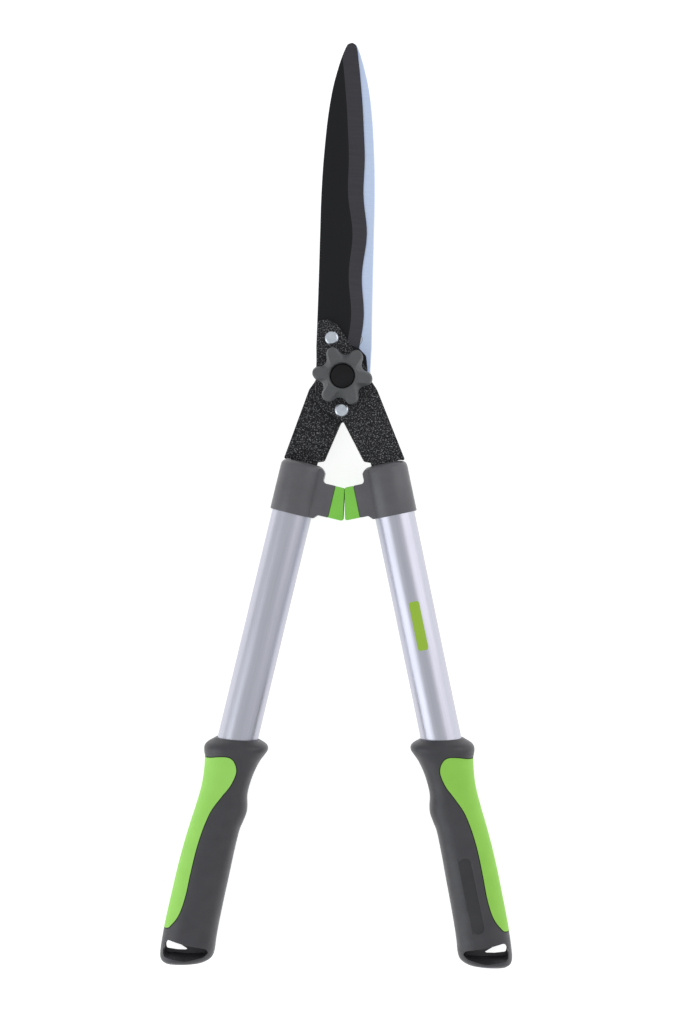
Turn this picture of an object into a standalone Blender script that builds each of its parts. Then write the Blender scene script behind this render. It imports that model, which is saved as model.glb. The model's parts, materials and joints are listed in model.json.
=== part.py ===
"""Hedge shears: two wavy blades on steel tangs, tubular handles and a knob-tightened pivot.

The shears lie flat, closed, with the knob up: +Z is the pivot's axis, +Y points to the
blade tips and +X to the right-hand handle seen from the knob. The origin is the middle of
the footprint, at ground level. The rear half is the front half turned over about Y: each
piece is made in the front half's place, and the two halves differ only in the lean of the
blade, in the tang's foot and in where the handle lies across and along the tool.
"""

import math

import bmesh
import bpy
import numpy as np
from mathutils import Matrix

MM = 0.001

# Clearances
FACE_GAP = 0.05 * MM          # between flat faces that lie on each other
SEAT_GAP = 0.12 * MM          # round a piece that is pressed or bonded into another
RUNNING_GAP = 0.08 * MM       # radial, between the pivot bolt and what turns on it
SHEAR_GAP = 0.3 * MM          # between the two blades
BUFFER_GAP = 0.3 * MM         # between the two rubber buffers, closed

# Blades
BLADE_REACH = 217.5 * MM      # pivot to tip
BLADE_THICKNESS = 3.0 * MM
BLADE_LEAN = math.radians(0.625)   # closed blades lean this far from the handles' middle line
EDGE_START = 19.4 * MM        # where the ground edge starts, from the pivot
EDGE_LAND = 0.5 * MM          # thickness left along the cutting edge
BEVEL_WIDTH = 9.0 * MM
BEVEL_FIRST = 0.15            # share of the bevel's width where it starts
BEVEL_SHARE = 0.92            # of the blade's width, the most that the bevel may take
BEVEL_RUN_IN = 3.0 * MM       # where the bevel starts, it widens over this length
WAVE_LENGTH = 55.0 * MM
WAVE_HEIGHT = 1.2 * MM        # each way from the mean edge
WAVE_FIRST_CREST = 39.0 * MM
WAVE_FADE = (100.0 * MM, 172.0 * MM)
SPINE = [(19, 17.95), (51, 17.6), (88, 17.45), (115, 17.35), (133, 16.85), (152, 15.75),
         (170, 14.2), (179, 13.05), (188, 11.55), (197, 9.45), (206, 6.9), (212, 4.8),
         (217.5, 0.8)]
MEAN_EDGE = [(19, 10.6), (60, 11.5), (94, 11.65), (120, 10.8), (145, 9.7), (168, 8.6),
             (187, 6.8), (206.5, 4.4), (213, 3.4), (217.5, 0.8)]
TIP_LENGTH = 12.0 * MM        # rounded end of the blade
TIP_STEPS = (0.28, 0.54, 0.76, 0.91, 1.0)
HEEL = [(9.9, 19.0, 0.5), (14.6, 14.2, 3.0), (15.9, 4.0, 6.0), (7.6, -27.4, 6.5),
        (-8.8, -27.4, 6.5), (-17.0, -8.0, 6.0)]

# Tangs
TANG_THICKNESS = 3.5 * MM
TANG_OUTLINE = [(-17.0, 36.9, 4.0), (-17.4, 8.0, 20.0), (-17.7, -12.4, 6.0),
                (-13.4, -21.0, 3.0), (1.0, -29.6, 3.0)]
TANG_FORK = (12.9, -54.7, 2.0)        # inner foot of the arm, before the handle's shift
TANG_SHOULDER = (38.8, -52.6, 1.0)    # outer foot of the arm, before the handle's shift
TANG_OUTER = [(21.0, -8.2, 4.0), (18.6, -2.6, 4.0), (15.2, 5.2, 6.0),
              (7.4, 16.4, 6.0), (3.0, 23.6, 3.0), (-4.6, 34.2, 3.0), (-9.5, 36.9, 4.0)]
NECK_START = (54.8 * MM, 55.7 * MM)   # along the handle axis: inner side, outer side
NECK_END = 112.0 * MM         # along the handle axis
LINER_WALL = 0.88 * MM        # left between a corner of the neck and the tube's bore
LINER_SHORT = 6.0 * MM        # the liner ends this far above the neck's end

# Rivets
RIVETS = {"upper": (-7.7 * MM, 25.0 * MM), "lower": (-0.5 * MM, -21.3 * MM)}
RIVET_RADIUS = 3.0 * MM
RIVET_HEAD_RADIUS = 4.4 * MM
RIVET_HEAD_HEIGHT = 1.4 * MM
COUNTERSINK_RADIUS = 4.3 * MM
COUNTERSINK_DEPTH = 1.3 * MM

# Pivot bolt and what is stacked on it
BOLT_RADIUS = 4.0 * MM
BOLT_HEAD_RADIUS = 9.0 * MM
BOLT_HEAD_FLAT = 6.0 * MM
BOLT_HEAD_HEIGHT = 3.0 * MM
THRUST_WASHER_RADIUS = 11.0 * MM
THRUST_WASHER_THICKNESS = 1.0 * MM
WAVE_WASHER_RADIUS = 9.0 * MM
WAVE_WASHER_THICKNESS = 1.0 * MM
FLAT_WASHER_RADIUS = 10.0 * MM
FLAT_WASHER_THICKNESS = 1.2 * MM
NUT_ACROSS_FLATS = 13.0 * MM
NUT_HEIGHT = 4.0 * MM

# Knob
KNOB_HEIGHT = 14.3 * MM       # of its lobed part
KNOB_LOBE_RADIUS = 19.3 * MM  # from the axis to a lobe's tip
KNOB_LOBE_ROUND = 4.35 * MM
KNOB_VALLEY_RADIUS = 13.7 * MM   # from the axis to the foot of a valley
KNOB_VALLEY_ROUND = 4.8 * MM
KNOB_LOBES = 6
KNOB_TURN = math.radians(-5.5)
KNOB_SKIRT_RADIUS = 13.2 * MM
KNOB_EDGE = 1.6 * MM          # rounding of the lobes' rims
KNOB_RING = 2.4 * MM          # left round the cap between two lobes
KNOB_CAP_RADIUS = 8.0 * MM
KNOB_WEB = 1.15 * MM          # between the nut and the cap
KNOB_CAP_THICKNESS = 1.5 * MM
KNOB_OVER_RIVET = 0.4 * MM
KNOB_OVER_TANG = 0.54 * MM    # below the skirt

# Handle axis: from its crossing with the X axis, down and outwards
HANDLE_OFFSET = 13.6 * MM
HANDLE_SHIFT = 1.5 * MM       # of both handles towards the right, with their middle line
HANDLE_ANGLE = math.radians(12.62)
TUBE_RADIUS = 13.0 * MM
TUBE_WALL = 1.3 * MM
GRIP_LENGTH = 155.2 * MM
GRIP_START = 238.0 * MM       # along the handle axis
GRIP_STAGGER = 1.25 * MM      # the right grip sits this much higher, the left as much lower
TUBE_IN_GRIP = 122.0 * MM

# Collar, buffer arm and buffer
COLLAR_START = 57.0 * MM
COLLAR_LENGTH = 34.0 * MM
COLLAR_WALL = 1.5 * MM        # over the tube
COLLAR_TOP_WALL = 2.6 * MM
COLLAR_RISE = [(0.72, 0.0), (0.86, 0.5), (0.95, 1.4), (1.0, 3.0)]   # share of radius, drop in mm
ARM_TOP = 67.0 * MM
ARM_HEIGHT = 21.2 * MM
ARM_HALF_DEPTH = 9.0 * MM
ARM_LENGTH = 7.8 * MM         # from the collar to the rubber
BUFFER_OPENING = 0.65 * MM    # each buffer's lean from the middle line, at its foot
BUFFER_PEG_RADIUS = 3.0 * MM
BUFFER_PEG_LENGTH = 5.0 * MM
PIN_AT = 80.0 * MM
PIN_RADIUS = 2.0 * MM

# Grip, slanted at both ends: distance down and reach on the inner side, the same on the
# outer side, half depth
GRIP_STATIONS = [
    (0.0, 14.2, 4.6, 14.2, 13.9), (1.6, 18.8, 8.4, 18.3, 16.9), (3.4, 20.5, 10.6, 19.7, 18.0),
    (5.6, 20.7, 12.8, 19.9, 18.2), (8.4, 19.6, 15.4, 19.2, 17.6), (13.0, 17.6, 18.6, 17.9, 16.6),
    (19.0, 16.0, 23.4, 17.0, 15.9), (25.0, 15.0, 28.4, 16.3, 15.5), (32.0, 14.5, 34.0, 15.8, 15.3),
    (37.5, 14.8, 38.5, 15.7, 15.3), (43.0, 16.2, 43.0, 15.8, 15.4), (48.0, 16.9, 48.0, 16.1, 15.6),
    (54.0, 16.1, 54.0, 16.5, 15.8), (61.0, 15.0, 61.0, 17.1, 15.9), (76.0, 15.0, 76.0, 18.0, 16.0),
    (92.0, 15.4, 92.0, 18.4, 16.0), (110.0, 15.8, 110.0, 18.3, 15.9),
    (124.0, 16.3, 125.0, 18.1, 15.8), (133.0, 16.9, 136.0, 17.7, 15.7),
    (140.0, 17.6, 144.5, 17.1, 15.5), (144.5, 16.8, 150.5, 16.3, 14.9),
    (148.2, 13.1, 153.8, 14.6, 13.0), (150.6, 8.1, 155.2, 11.9, 9.5)]
GRIP_STRETCH = GRIP_LENGTH / GRIP_STATIONS[-1][2]   # metres to each unit down the grip
GRIP_DRAWN_FOR = 13.0 * MM    # the tube's radius for which the stations hold as they stand
GRIP_SQUARENESS = 2.4         # exponent of the section's superellipse
GRIP_SIDES = 20
INSERT_DEPTH = 1.4 * MM
INSERT_OUTLINE = [(30.0, 20.7, 1.0), (2.4, 13.1, 5.0), (-5.9, 16.3, 5.0), (-5.6, 27.5, 8.0),
                  (2.2, 43.5, 12.0), (6.6, 58.0, 15.0), (8.4, 80.0, 30.0), (7.8, 109.0, 15.0),
                  (9.7, 122.5, 10.0), (13.6, 130.3, 5.0), (30.0, 135.5, 1.0)]
SLOT_OUTLINE = [(-15.0, 139.6, 1.8), (-12.6, 137.8, 1.2), (13.3, 138.3, 2.5),
                (15.3, 142.4, 3.0), (13.4, 150.3, 2.5), (-1.2, 149.3, 5.0), (-12.6, 143.8, 2.5)]
RECESS_MIDDLE = (-1.4 * MM, 103.9 * MM)
RECESS_LENGTH = 49.2 * MM
RECESS_WIDTH = 8.7 * MM
RECESS_DEPTH = 0.4 * MM
GRIP_HALF_DEPTH = 16.0 * MM    # where the recess lies

ROUND_SIDES = 28
RIVET_SIDES = 16
GRIP_CUT = 30.0 * MM          # half height of a tool that cuts right through a grip

# Levels above the shear plane, worked out from the stack
BLADE_LOW = SHEAR_GAP / 2
BLADE_HIGH = BLADE_LOW + BLADE_THICKNESS
TANG_LOW = BLADE_HIGH + FACE_GAP
TANG_HIGH = TANG_LOW + TANG_THICKNESS
THRUST_LOW = TANG_HIGH + FACE_GAP
WAVE_LOW = THRUST_LOW + THRUST_WASHER_THICKNESS + FACE_GAP
FLAT_LOW = WAVE_LOW + WAVE_WASHER_THICKNESS + FACE_GAP
KNOB_SEAT = FLAT_LOW + FLAT_WASHER_THICKNESS + FACE_GAP
KNOB_LOW = TANG_HIGH + KNOB_OVER_TANG
LOBE_LOW = TANG_HIGH + RIVET_HEAD_HEIGHT + KNOB_OVER_RIVET
KNOB_TOP = LOBE_LOW + KNOB_HEIGHT
NUT_LOW = KNOB_SEAT + FACE_GAP
NUT_TOP = NUT_LOW + NUT_HEIGHT
CAP_LOW = NUT_TOP + KNOB_WEB

# Sizes that follow the tube or the cap
NECK_WIDTH = 2 * math.sqrt((TUBE_RADIUS - TUBE_WALL - LINER_WALL) ** 2 - TANG_HIGH**2)
COLLAR_RADIUS = TUBE_RADIUS + COLLAR_WALL
ARM_REACH = COLLAR_RADIUS + ARM_LENGTH
KNOB_SCOOP_RADIUS = KNOB_CAP_RADIUS + KNOB_RING
GRIP_GROWTH = TUBE_RADIUS - GRIP_DRAWN_FOR


# --- mesh tools -------------------------------------------------------------------------

def mesh_from(points, faces, name="mesh"):
    """A mesh from points and faces, with its faces turned to point outwards."""
    mesh = bpy.data.meshes.new(name)
    mesh.from_pydata([tuple(point) for point in points], [], faces)
    work = bmesh.new()
    work.from_mesh(mesh)
    bmesh.ops.recalc_face_normals(work, faces=work.faces)
    work.to_mesh(mesh)
    work.free()
    return mesh


def rounded(corners, scale=MM, closed=True):
    """Points of a polygon given as (x, y, corner radius), with each corner cut as an arc."""
    points = []
    count = len(corners)
    for index, (x, y, radius) in enumerate(corners):
        here = np.array((x, y))
        if not closed and index in (0, count - 1):
            points.append(here)
            continue
        before = np.array(corners[index - 1][:2])
        after = np.array(corners[(index + 1) % count][:2])
        back = (before - here) / np.linalg.norm(before - here)
        ahead = (after - here) / np.linalg.norm(after - here)
        half = math.acos(np.clip(back @ ahead, -1, 1)) / 2
        room = 0.45 * min(np.linalg.norm(before - here), np.linalg.norm(after - here))
        tangent = min(radius / math.tan(half), room)
        radius = tangent * math.tan(half)
        middle = here + (back + ahead) / np.linalg.norm(back + ahead) * radius / math.sin(half)
        start = here + back * tangent - middle
        sweep = math.pi - 2 * half
        side = math.copysign(1, back[1] * ahead[0] - back[0] * ahead[1])
        steps = max(1, math.ceil(sweep / math.radians(25)))
        for step in range(steps + 1):
            turn = side * sweep * step / steps
            c, s = math.cos(turn), math.sin(turn)
            points.append(middle + (c * start[0] - s * start[1], s * start[0] + c * start[1]))
    return [tuple(point * scale) for point in points]


def circle(radius, sides=ROUND_SIDES, middle=(0, 0)):
    turns = [2 * math.pi * side / sides for side in range(sides)]
    return [(middle[0] + radius * math.cos(a), middle[1] + radius * math.sin(a)) for a in turns]


def loft(rings):
    """A closed mesh through rings of the same number of 3-D points."""
    sides = len(rings[0])
    points = [point for ring in rings for point in ring]
    faces = [tuple(range(sides)), tuple(range(len(points) - sides, len(points)))]
    for start in range(0, len(points) - sides, sides):
        for side in range(sides):
            after = (side + 1) % sides
            faces.append((start + side, start + after, start + sides + after, start + sides + side))
    return mesh_from(points, faces)


def prism(outline, low, high):
    return loft([[(x, y, z) for x, y in outline] for z in (low, high)])


def turned(profile, sides=ROUND_SIDES, middle=(0, 0)):
    """A solid turned about Z: profile is (radius, height) from bottom to top."""
    return loft([[(x, y, height) for x, y in circle(radius, sides, middle)]
                 for radius, height in profile])


def combined(mesh, tools, operation):
    """The mesh after a Boolean with each tool mesh in turn; the tools are used up."""
    body = bpy.data.objects.new("work", mesh)
    bpy.context.scene.collection.objects.link(body)
    helpers = []
    for tool in tools:
        helper = bpy.data.objects.new("tool", tool)
        bpy.context.scene.collection.objects.link(helper)
        modifier = body.modifiers.new("bool", "BOOLEAN")
        modifier.operation = operation
        modifier.object = helper
        helpers.append(helper)
    bpy.context.view_layer.update()
    graph = bpy.context.evaluated_depsgraph_get()
    result = bpy.data.meshes.new_from_object(body.evaluated_get(graph))
    for spent in [body, *helpers]:
        bpy.data.objects.remove(spent)
    return result


def cut(mesh, *tools):
    return combined(mesh, tools, "DIFFERENCE")


def smooth_at(stations, y):
    """The value at y of a smooth curve through (y, value) stations, in their own units."""
    ys, values = np.array(stations, float).T
    slopes = np.gradient(values, ys)
    k = int(np.clip(np.searchsorted(ys, y) - 1, 0, len(ys) - 2))
    step = ys[k + 1] - ys[k]
    u = np.clip((y - ys[k]) / step, 0, 1)
    return ((2 * u**3 - 3 * u**2 + 1) * values[k] + (u**3 - 2 * u**2 + u) * step * slopes[k]
            + (3 * u**2 - 2 * u**3) * values[k + 1] + (u**3 - u**2) * step * slopes[k + 1])


# --- scene tools ------------------------------------------------------------------------

def clear_scene():
    for obj in list(bpy.data.objects):
        bpy.data.objects.remove(obj)


def material(name, colour, roughness, metallic=0.0):
    made = bpy.data.materials.new(name)
    made.use_nodes = True
    shader = made.node_tree.nodes["Principled BSDF"]
    shader.inputs["Base Color"].default_value = (*colour, 1.0)
    shader.inputs["Roughness"].default_value = roughness
    shader.inputs["Metallic"].default_value = metallic
    return made


def add_empty(name, parent=None, matrix=None):
    empty = bpy.data.objects.new(name, None)
    empty.empty_display_size = 20 * MM
    empty.parent = parent
    empty.matrix_local = matrix or Matrix.Identity(4)
    bpy.context.scene.collection.objects.link(empty)
    return empty


def add_piece(name, mesh, finish, parent):
    """An object for the mesh; a mesh placed a second time keeps its first material."""
    if not mesh.materials:
        mesh.materials.append(finish)
    if mesh.users == 0:
        mesh.shade_smooth()
        mesh.set_sharp_from_angle(angle=math.radians(35))
    piece = bpy.data.objects.new(name, mesh)
    piece.parent = parent
    bpy.context.scene.collection.objects.link(piece)
    return piece


# --- blades, tangs and rivets -----------------------------------------------------------

def edge_x(y):
    """The wavy cutting edge's distance from the blade's axis."""
    fade = np.clip((y - WAVE_FADE[0]) / (WAVE_FADE[1] - WAVE_FADE[0]), 0, 1)
    height = WAVE_HEIGHT * (1 - fade)
    wave = height * math.cos(2 * math.pi * (y - WAVE_FIRST_CREST) / WAVE_LENGTH)
    return smooth_at(MEAN_EDGE, y / BLADE_REACH * MEAN_EDGE[-1][0]) * MM + wave


def spine_x(y):
    return -smooth_at(SPINE, y / BLADE_REACH * SPINE[-1][0]) * MM


def blade_mesh(lean):
    """One blade: heel plate, wavy edge ground on the outer face, rounded tip.

    lean turns the blade about the pivot; the rivet holes stay on the tang's rivets.
    """
    body_steps = np.linspace(EDGE_START, BLADE_REACH - TIP_LENGTH, 31)
    tip_steps = BLADE_REACH - TIP_LENGTH * (1 - np.array(TIP_STEPS))
    points, faces = [], []
    for y in [*body_steps, *tip_steps]:
        edge, spine = edge_x(y), spine_x(y)
        width = BEVEL_WIDTH * np.clip(BEVEL_FIRST + (y - EDGE_START) / BEVEL_RUN_IN, 0, 1)
        share = min(1.0, BEVEL_SHARE * (edge - spine) / width)
        ridge = edge - share * width
        top = BLADE_LOW + EDGE_LAND + (BLADE_THICKNESS - EDGE_LAND) * share
        points += [(spine, y, BLADE_LOW), (edge, y, BLADE_LOW),
                   (edge, y, BLADE_LOW + EDGE_LAND), (ridge, y, top), (spine, y, top)]
    for start in range(0, len(points) - 5, 5):
        for side in range(5):
            after = (side + 1) % 5
            faces.append((start + side, start + after, start + 5 + after, start + 5 + side))
    faces.append(tuple(range(len(points) - 5, len(points))))
    heel = rounded([(edge_x(EDGE_START) / MM, EDGE_START / MM, 0), *HEEL,
                    (spine_x(EDGE_START) / MM, EDGE_START / MM, 0)], closed=False)[1:-1]
    low = len(points)
    points += [(x, y, BLADE_LOW) for x, y in heel]
    high = len(points)
    points += [(x, y, BLADE_HIGH) for x, y in heel]
    last = len(heel) - 1
    faces.append((1, *range(low, high), 0))
    faces.append((3, *range(high, high + len(heel)), 4))
    faces.append((1, 2, 3, high, low))
    faces.append((0, 4, high + last, low + last))
    faces += [(low + k, low + k + 1, high + k + 1, high + k) for k in range(last)]
    mesh = mesh_from(points, faces, "blade")
    mesh.transform(Matrix.Rotation(-lean, 4, "Z"))
    holes = [prism(circle(BOLT_RADIUS + RUNNING_GAP), -MM, BLADE_HIGH + MM)]
    holes += [rivet_shape(place, SEAT_GAP, BLADE_LOW - MM, BLADE_HIGH + MM)
              for place in RIVETS.values()]
    return cut(mesh, *holes)


def rivet_shape(place, gap=0.0, low=None, high=None):
    """A rivet's turned body, or with a gap the hole for it, from low to high."""
    foot = BLADE_LOW + FACE_GAP
    sink = foot + COUNTERSINK_DEPTH
    profile = [(COUNTERSINK_RADIUS + gap, foot), (RIVET_RADIUS + gap, sink)]
    if high is None:
        head = TANG_HIGH + FACE_GAP
        rim = RIVET_HEAD_RADIUS
        profile += [(RIVET_RADIUS, head), (rim, head), (rim, head + RIVET_HEAD_HEIGHT / 3),
                    (0.66 * rim, head + RIVET_HEAD_HEIGHT)]
    else:
        profile = [(COUNTERSINK_RADIUS + gap, low), *profile, (RIVET_RADIUS + gap, high)]
    return turned(profile, RIVET_SIDES, place)


def handle_xy(reach, along, shift=0.0):
    """The X, Y of a point given by its reach outwards from the handle axis and along it."""
    c, s = math.cos(HANDLE_ANGLE), math.sin(HANDLE_ANGLE)
    return (HANDLE_OFFSET + shift + along * s + reach * c, -along * c + reach * s)


def tang_mesh(square_hole, shift):
    """A steel tang: the plate riveted to the blade, and its neck inside the handle.

    shift moves the arm's foot and the neck outwards with the handle.
    """
    half = NECK_WIDTH / 2
    neck = [handle_xy(-half, NECK_START[0], shift), handle_xy(-half, NECK_END, shift),
            handle_xy(half, NECK_END, shift), handle_xy(half, NECK_START[1], shift)]
    fork, shoulder = ((x + shift / MM, y, radius) for x, y, radius in (TANG_FORK, TANG_SHOULDER))
    corners = [*TANG_OUTLINE, fork, *((x / MM, y / MM, 1.0) for x, y in neck), shoulder, *TANG_OUTER]
    mesh = prism(rounded(corners), TANG_LOW, TANG_HIGH)
    if square_hole:
        side = BOLT_RADIUS + SEAT_GAP
        pivot = [(-side, -side), (side, -side), (side, side), (-side, side)]
    else:
        pivot = circle(BOLT_RADIUS + RUNNING_GAP)
    low, high = TANG_LOW - MM, TANG_HIGH + MM
    rivets = [prism(circle(RIVET_RADIUS + SEAT_GAP, RIVET_SIDES, place), low, high)
              for place in RIVETS.values()]
    pin = prism(circle(PIN_RADIUS + SEAT_GAP, RIVET_SIDES, handle_xy(0, PIN_AT, shift)), low, high)
    return cut(mesh, prism(pivot, low, high), *rivets, pin)


# --- handle pieces, in the handle's frame: X outwards, Y up, Z down the handle ------------

def along_z(outline, half_height):
    """A prism on an outline of (X, Z) points, reaching half_height each way in Y."""
    return loft([[(x, y, z) for x, z in outline] for y in (-half_height, half_height)])


def cross_pin(radius, half_length):
    ring = circle(radius, RIVET_SIDES, (0, PIN_AT))
    return along_z(ring, half_length)


def neck_slot(low, high):
    half = NECK_WIDTH / 2 + SEAT_GAP
    bottom, top = TANG_LOW - SEAT_GAP, TANG_HIGH + SEAT_GAP
    return prism([(-half, bottom), (half, bottom), (half, top), (-half, top)], low, high)


def tube_mesh():
    start = COLLAR_START + COLLAR_TOP_WALL + SEAT_GAP
    end = GRIP_START + TUBE_IN_GRIP
    outer = turned([(TUBE_RADIUS, start), (TUBE_RADIUS, end)])
    bore = turned([(TUBE_RADIUS - TUBE_WALL, start - MM), (TUBE_RADIUS - TUBE_WALL, end + MM)])
    return cut(outer, bore, cross_pin(PIN_RADIUS + SEAT_GAP, TUBE_RADIUS + MM))


def liner_mesh():
    """The plastic plug that fills the tube's end round the tang's neck."""
    start = COLLAR_START + COLLAR_TOP_WALL + SEAT_GAP
    end = NECK_END - LINER_SHORT
    radius = TUBE_RADIUS - TUBE_WALL - SEAT_GAP
    plug = turned([(radius, start), (radius, end - MM), (radius - MM, end)])
    return cut(plug, neck_slot(start - MM, end + MM),
               cross_pin(PIN_RADIUS + SEAT_GAP, TUBE_RADIUS + MM))


def collar_mesh():
    """The moulded collar: a domed sleeve over the tube's end, with the arm of the buffer."""
    end = COLLAR_START + COLLAR_LENGTH
    profile = [(share * COLLAR_RADIUS, COLLAR_START + drop * MM) for share, drop in COLLAR_RISE]
    profile += [(COLLAR_RADIUS, end - 0.8 * MM), (COLLAR_RADIUS - 0.6 * MM, end)]
    low, high = ARM_TOP, ARM_TOP + ARM_HEIGHT
    root = -COLLAR_RADIUS + 3 * MM
    web = [(root, low - 4 * MM), (root, high + 3 * MM), (root - 4.5 * MM, high),
           (-ARM_REACH, high), (-ARM_REACH, low), (root - 6 * MM, low)]
    body = combined(turned(profile), [along_z(web, ARM_HALF_DEPTH)], "UNION")
    bore_radius = TUBE_RADIUS + SEAT_GAP
    bore = turned([(bore_radius, COLLAR_START + COLLAR_TOP_WALL), (bore_radius, end + MM)])
    peg = buffer_peg(SEAT_GAP)
    return cut(body, bore, neck_slot(COLLAR_START - MM, end), peg)


def buffer_peg(gap=0.0):
    """The rubber peg that holds a buffer in its arm, or with a gap the hole for it."""
    ring = circle(BUFFER_PEG_RADIUS + gap, RIVET_SIDES, (0, ARM_TOP + ARM_HEIGHT / 2))
    ends = (-ARM_REACH - MM, -ARM_REACH + BUFFER_PEG_LENGTH + gap)
    return loft([[(x, y, z) for y, z in ring] for x in ends])


def middle_line_reach(along, from_line):
    """The reach, at a place along the handle, of a point from_line beside the middle line."""
    c, s = math.cos(HANDLE_ANGLE), math.sin(HANDLE_ANGLE)
    return (from_line - HANDLE_OFFSET - along * s) / c


def buffer_mesh():
    """A rubber buffer: a wedge from the arm to the middle line, with its peg."""
    low, high = ARM_TOP + SEAT_GAP, ARM_TOP + ARM_HEIGHT - SEAT_GAP
    top = middle_line_reach(low, BUFFER_GAP / 2)
    foot = middle_line_reach(high, BUFFER_GAP / 2 + BUFFER_OPENING)
    root = -ARM_REACH - FACE_GAP
    corners = [(root / MM, low / MM, 0.4), (root / MM, high / MM, 0.4),
               (foot / MM, high / MM, 1.3), (top / MM, low / MM, 1.3)]
    block = along_z(rounded(corners), ARM_HALF_DEPTH - 0.2 * MM)
    return combined(block, [buffer_peg()], "UNION")


def grip_ring(inner_z, inner, outer_z, outer, depth):
    """One section of the grip, slanted when its two sides lie at different places."""
    middle, half = (outer - inner) / 2, (outer + inner) / 2
    ring = []
    for side in range(GRIP_SIDES):
        turn = 2 * math.pi * side / GRIP_SIDES
        c, s = math.cos(turn), math.sin(turn)
        across = math.copysign(abs(c) ** (2 / GRIP_SQUARENESS), c)
        up = math.copysign(abs(s) ** (2 / GRIP_SQUARENESS), s)
        z = (inner_z + outer_z) / 2 + (outer_z - inner_z) / 2 * across
        ring.append((middle + half * across, depth * up, z))
    return ring


def grip_body(under=0.0):
    """The grip's whole outside, or the surface a given depth under it."""
    rings = []
    growth = GRIP_GROWTH - under
    for inner_at, inner, outer_at, outer, depth in GRIP_STATIONS:
        rings.append(grip_ring(GRIP_START + inner_at * GRIP_STRETCH, inner * MM + growth,
                               GRIP_START + outer_at * GRIP_STRETCH, outer * MM + growth,
                               depth * MM + growth))
    return loft(rings)


def grip_outline(corners, inset=0.0):
    """An outline given down the grip, placed on the handle axis and drawn in by inset."""
    stretch = GRIP_STRETCH / MM
    points = np.array(rounded([(x, z * stretch, radius) for x, z, radius in corners]))
    ahead = np.roll(points, -1, axis=0) - np.roll(points, 1, axis=0)
    normal = np.stack([-ahead[:, 1], ahead[:, 0]], axis=1)
    normal /= np.linalg.norm(normal, axis=1)[:, None]
    loops = points * np.roll(points, -1, axis=0)[:, ::-1]
    turn = np.sign((loops[:, 0] - loops[:, 1]).sum())
    points += normal * turn * inset
    return [(x, GRIP_START + z) for x, z in points]


def insert_pocket():
    window = along_z(grip_outline(INSERT_OUTLINE), GRIP_CUT)
    return cut(window, grip_body(INSERT_DEPTH))


def grip_mesh():
    """The moulded grip: bore for the tube, pocket for the insert, hang slot, label recess."""
    bore_radius = TUBE_RADIUS + SEAT_GAP
    bore = turned([(bore_radius, GRIP_START - MM),
                   (bore_radius, GRIP_START + TUBE_IN_GRIP + GRIP_STAGGER + SEAT_GAP)])
    slot = along_z(grip_outline(SLOT_OUTLINE), GRIP_CUT)
    half = (RECESS_LENGTH - RECESS_WIDTH) / 2
    recess = []
    for turn in np.linspace(0, 2 * math.pi, 16, endpoint=False) + math.pi / 16:
        end = math.copysign(half, math.sin(turn))
        recess.append((RECESS_MIDDLE[0] + RECESS_WIDTH / 2 * math.cos(turn),
                       GRIP_START + RECESS_MIDDLE[1] + end + RECESS_WIDTH / 2 * math.sin(turn)))
    floor = GRIP_HALF_DEPTH + GRIP_GROWTH - RECESS_DEPTH
    label = loft([[(x, y, z) for x, z in recess] for y in (floor, GRIP_CUT)])
    return cut(grip_body(), insert_pocket(), bore, slot, label)


def insert_mesh():
    """The soft outer insert, bonded into the grip's pocket."""
    window = along_z(grip_outline(INSERT_OUTLINE, SEAT_GAP), GRIP_CUT - MM)
    skin = combined(grip_body(), [window], "INTERSECT")
    return cut(skin, grip_body(INSERT_DEPTH - SEAT_GAP))


# --- pivot stack ------------------------------------------------------------------------

def bolt_mesh():
    """The pivot bolt: low round head behind, square neck in the rear tang, round shank."""
    head = -TANG_HIGH - FACE_GAP
    foot = head - BOLT_HEAD_HEIGHT
    end = NUT_TOP + 0.3 * MM
    shaft = turned([(BOLT_HEAD_FLAT, foot), (0.86 * BOLT_HEAD_RADIUS, foot + 0.9 * MM),
                    (BOLT_HEAD_RADIUS, foot + 2.2 * MM), (BOLT_HEAD_RADIUS, head),
                    (BOLT_RADIUS, head), (BOLT_RADIUS, end - 0.8 * MM),
                    (BOLT_RADIUS - 0.8 * MM, end)])
    side = BOLT_RADIUS
    square = [(-side, -side), (side, -side), (side, side), (-side, side)]
    return combined(shaft, [prism(square, head - 0.5 * MM, -TANG_LOW - 0.1 * MM)], "UNION")


def washer_mesh(radius, low, thickness):
    ring = turned([(radius, low), (radius, low + thickness)])
    hole = BOLT_RADIUS + 2 * RUNNING_GAP
    return cut(ring, turned([(hole, low - MM), (hole, low + thickness + MM)]))


def hexagon(across_flats):
    return circle(across_flats / math.sqrt(3), 6)


def nut_mesh():
    body = prism(hexagon(NUT_ACROSS_FLATS), NUT_LOW, NUT_TOP)
    hole = BOLT_RADIUS + RUNNING_GAP
    return cut(body, turned([(hole, NUT_LOW - MM), (hole, NUT_TOP + MM)]))


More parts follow.
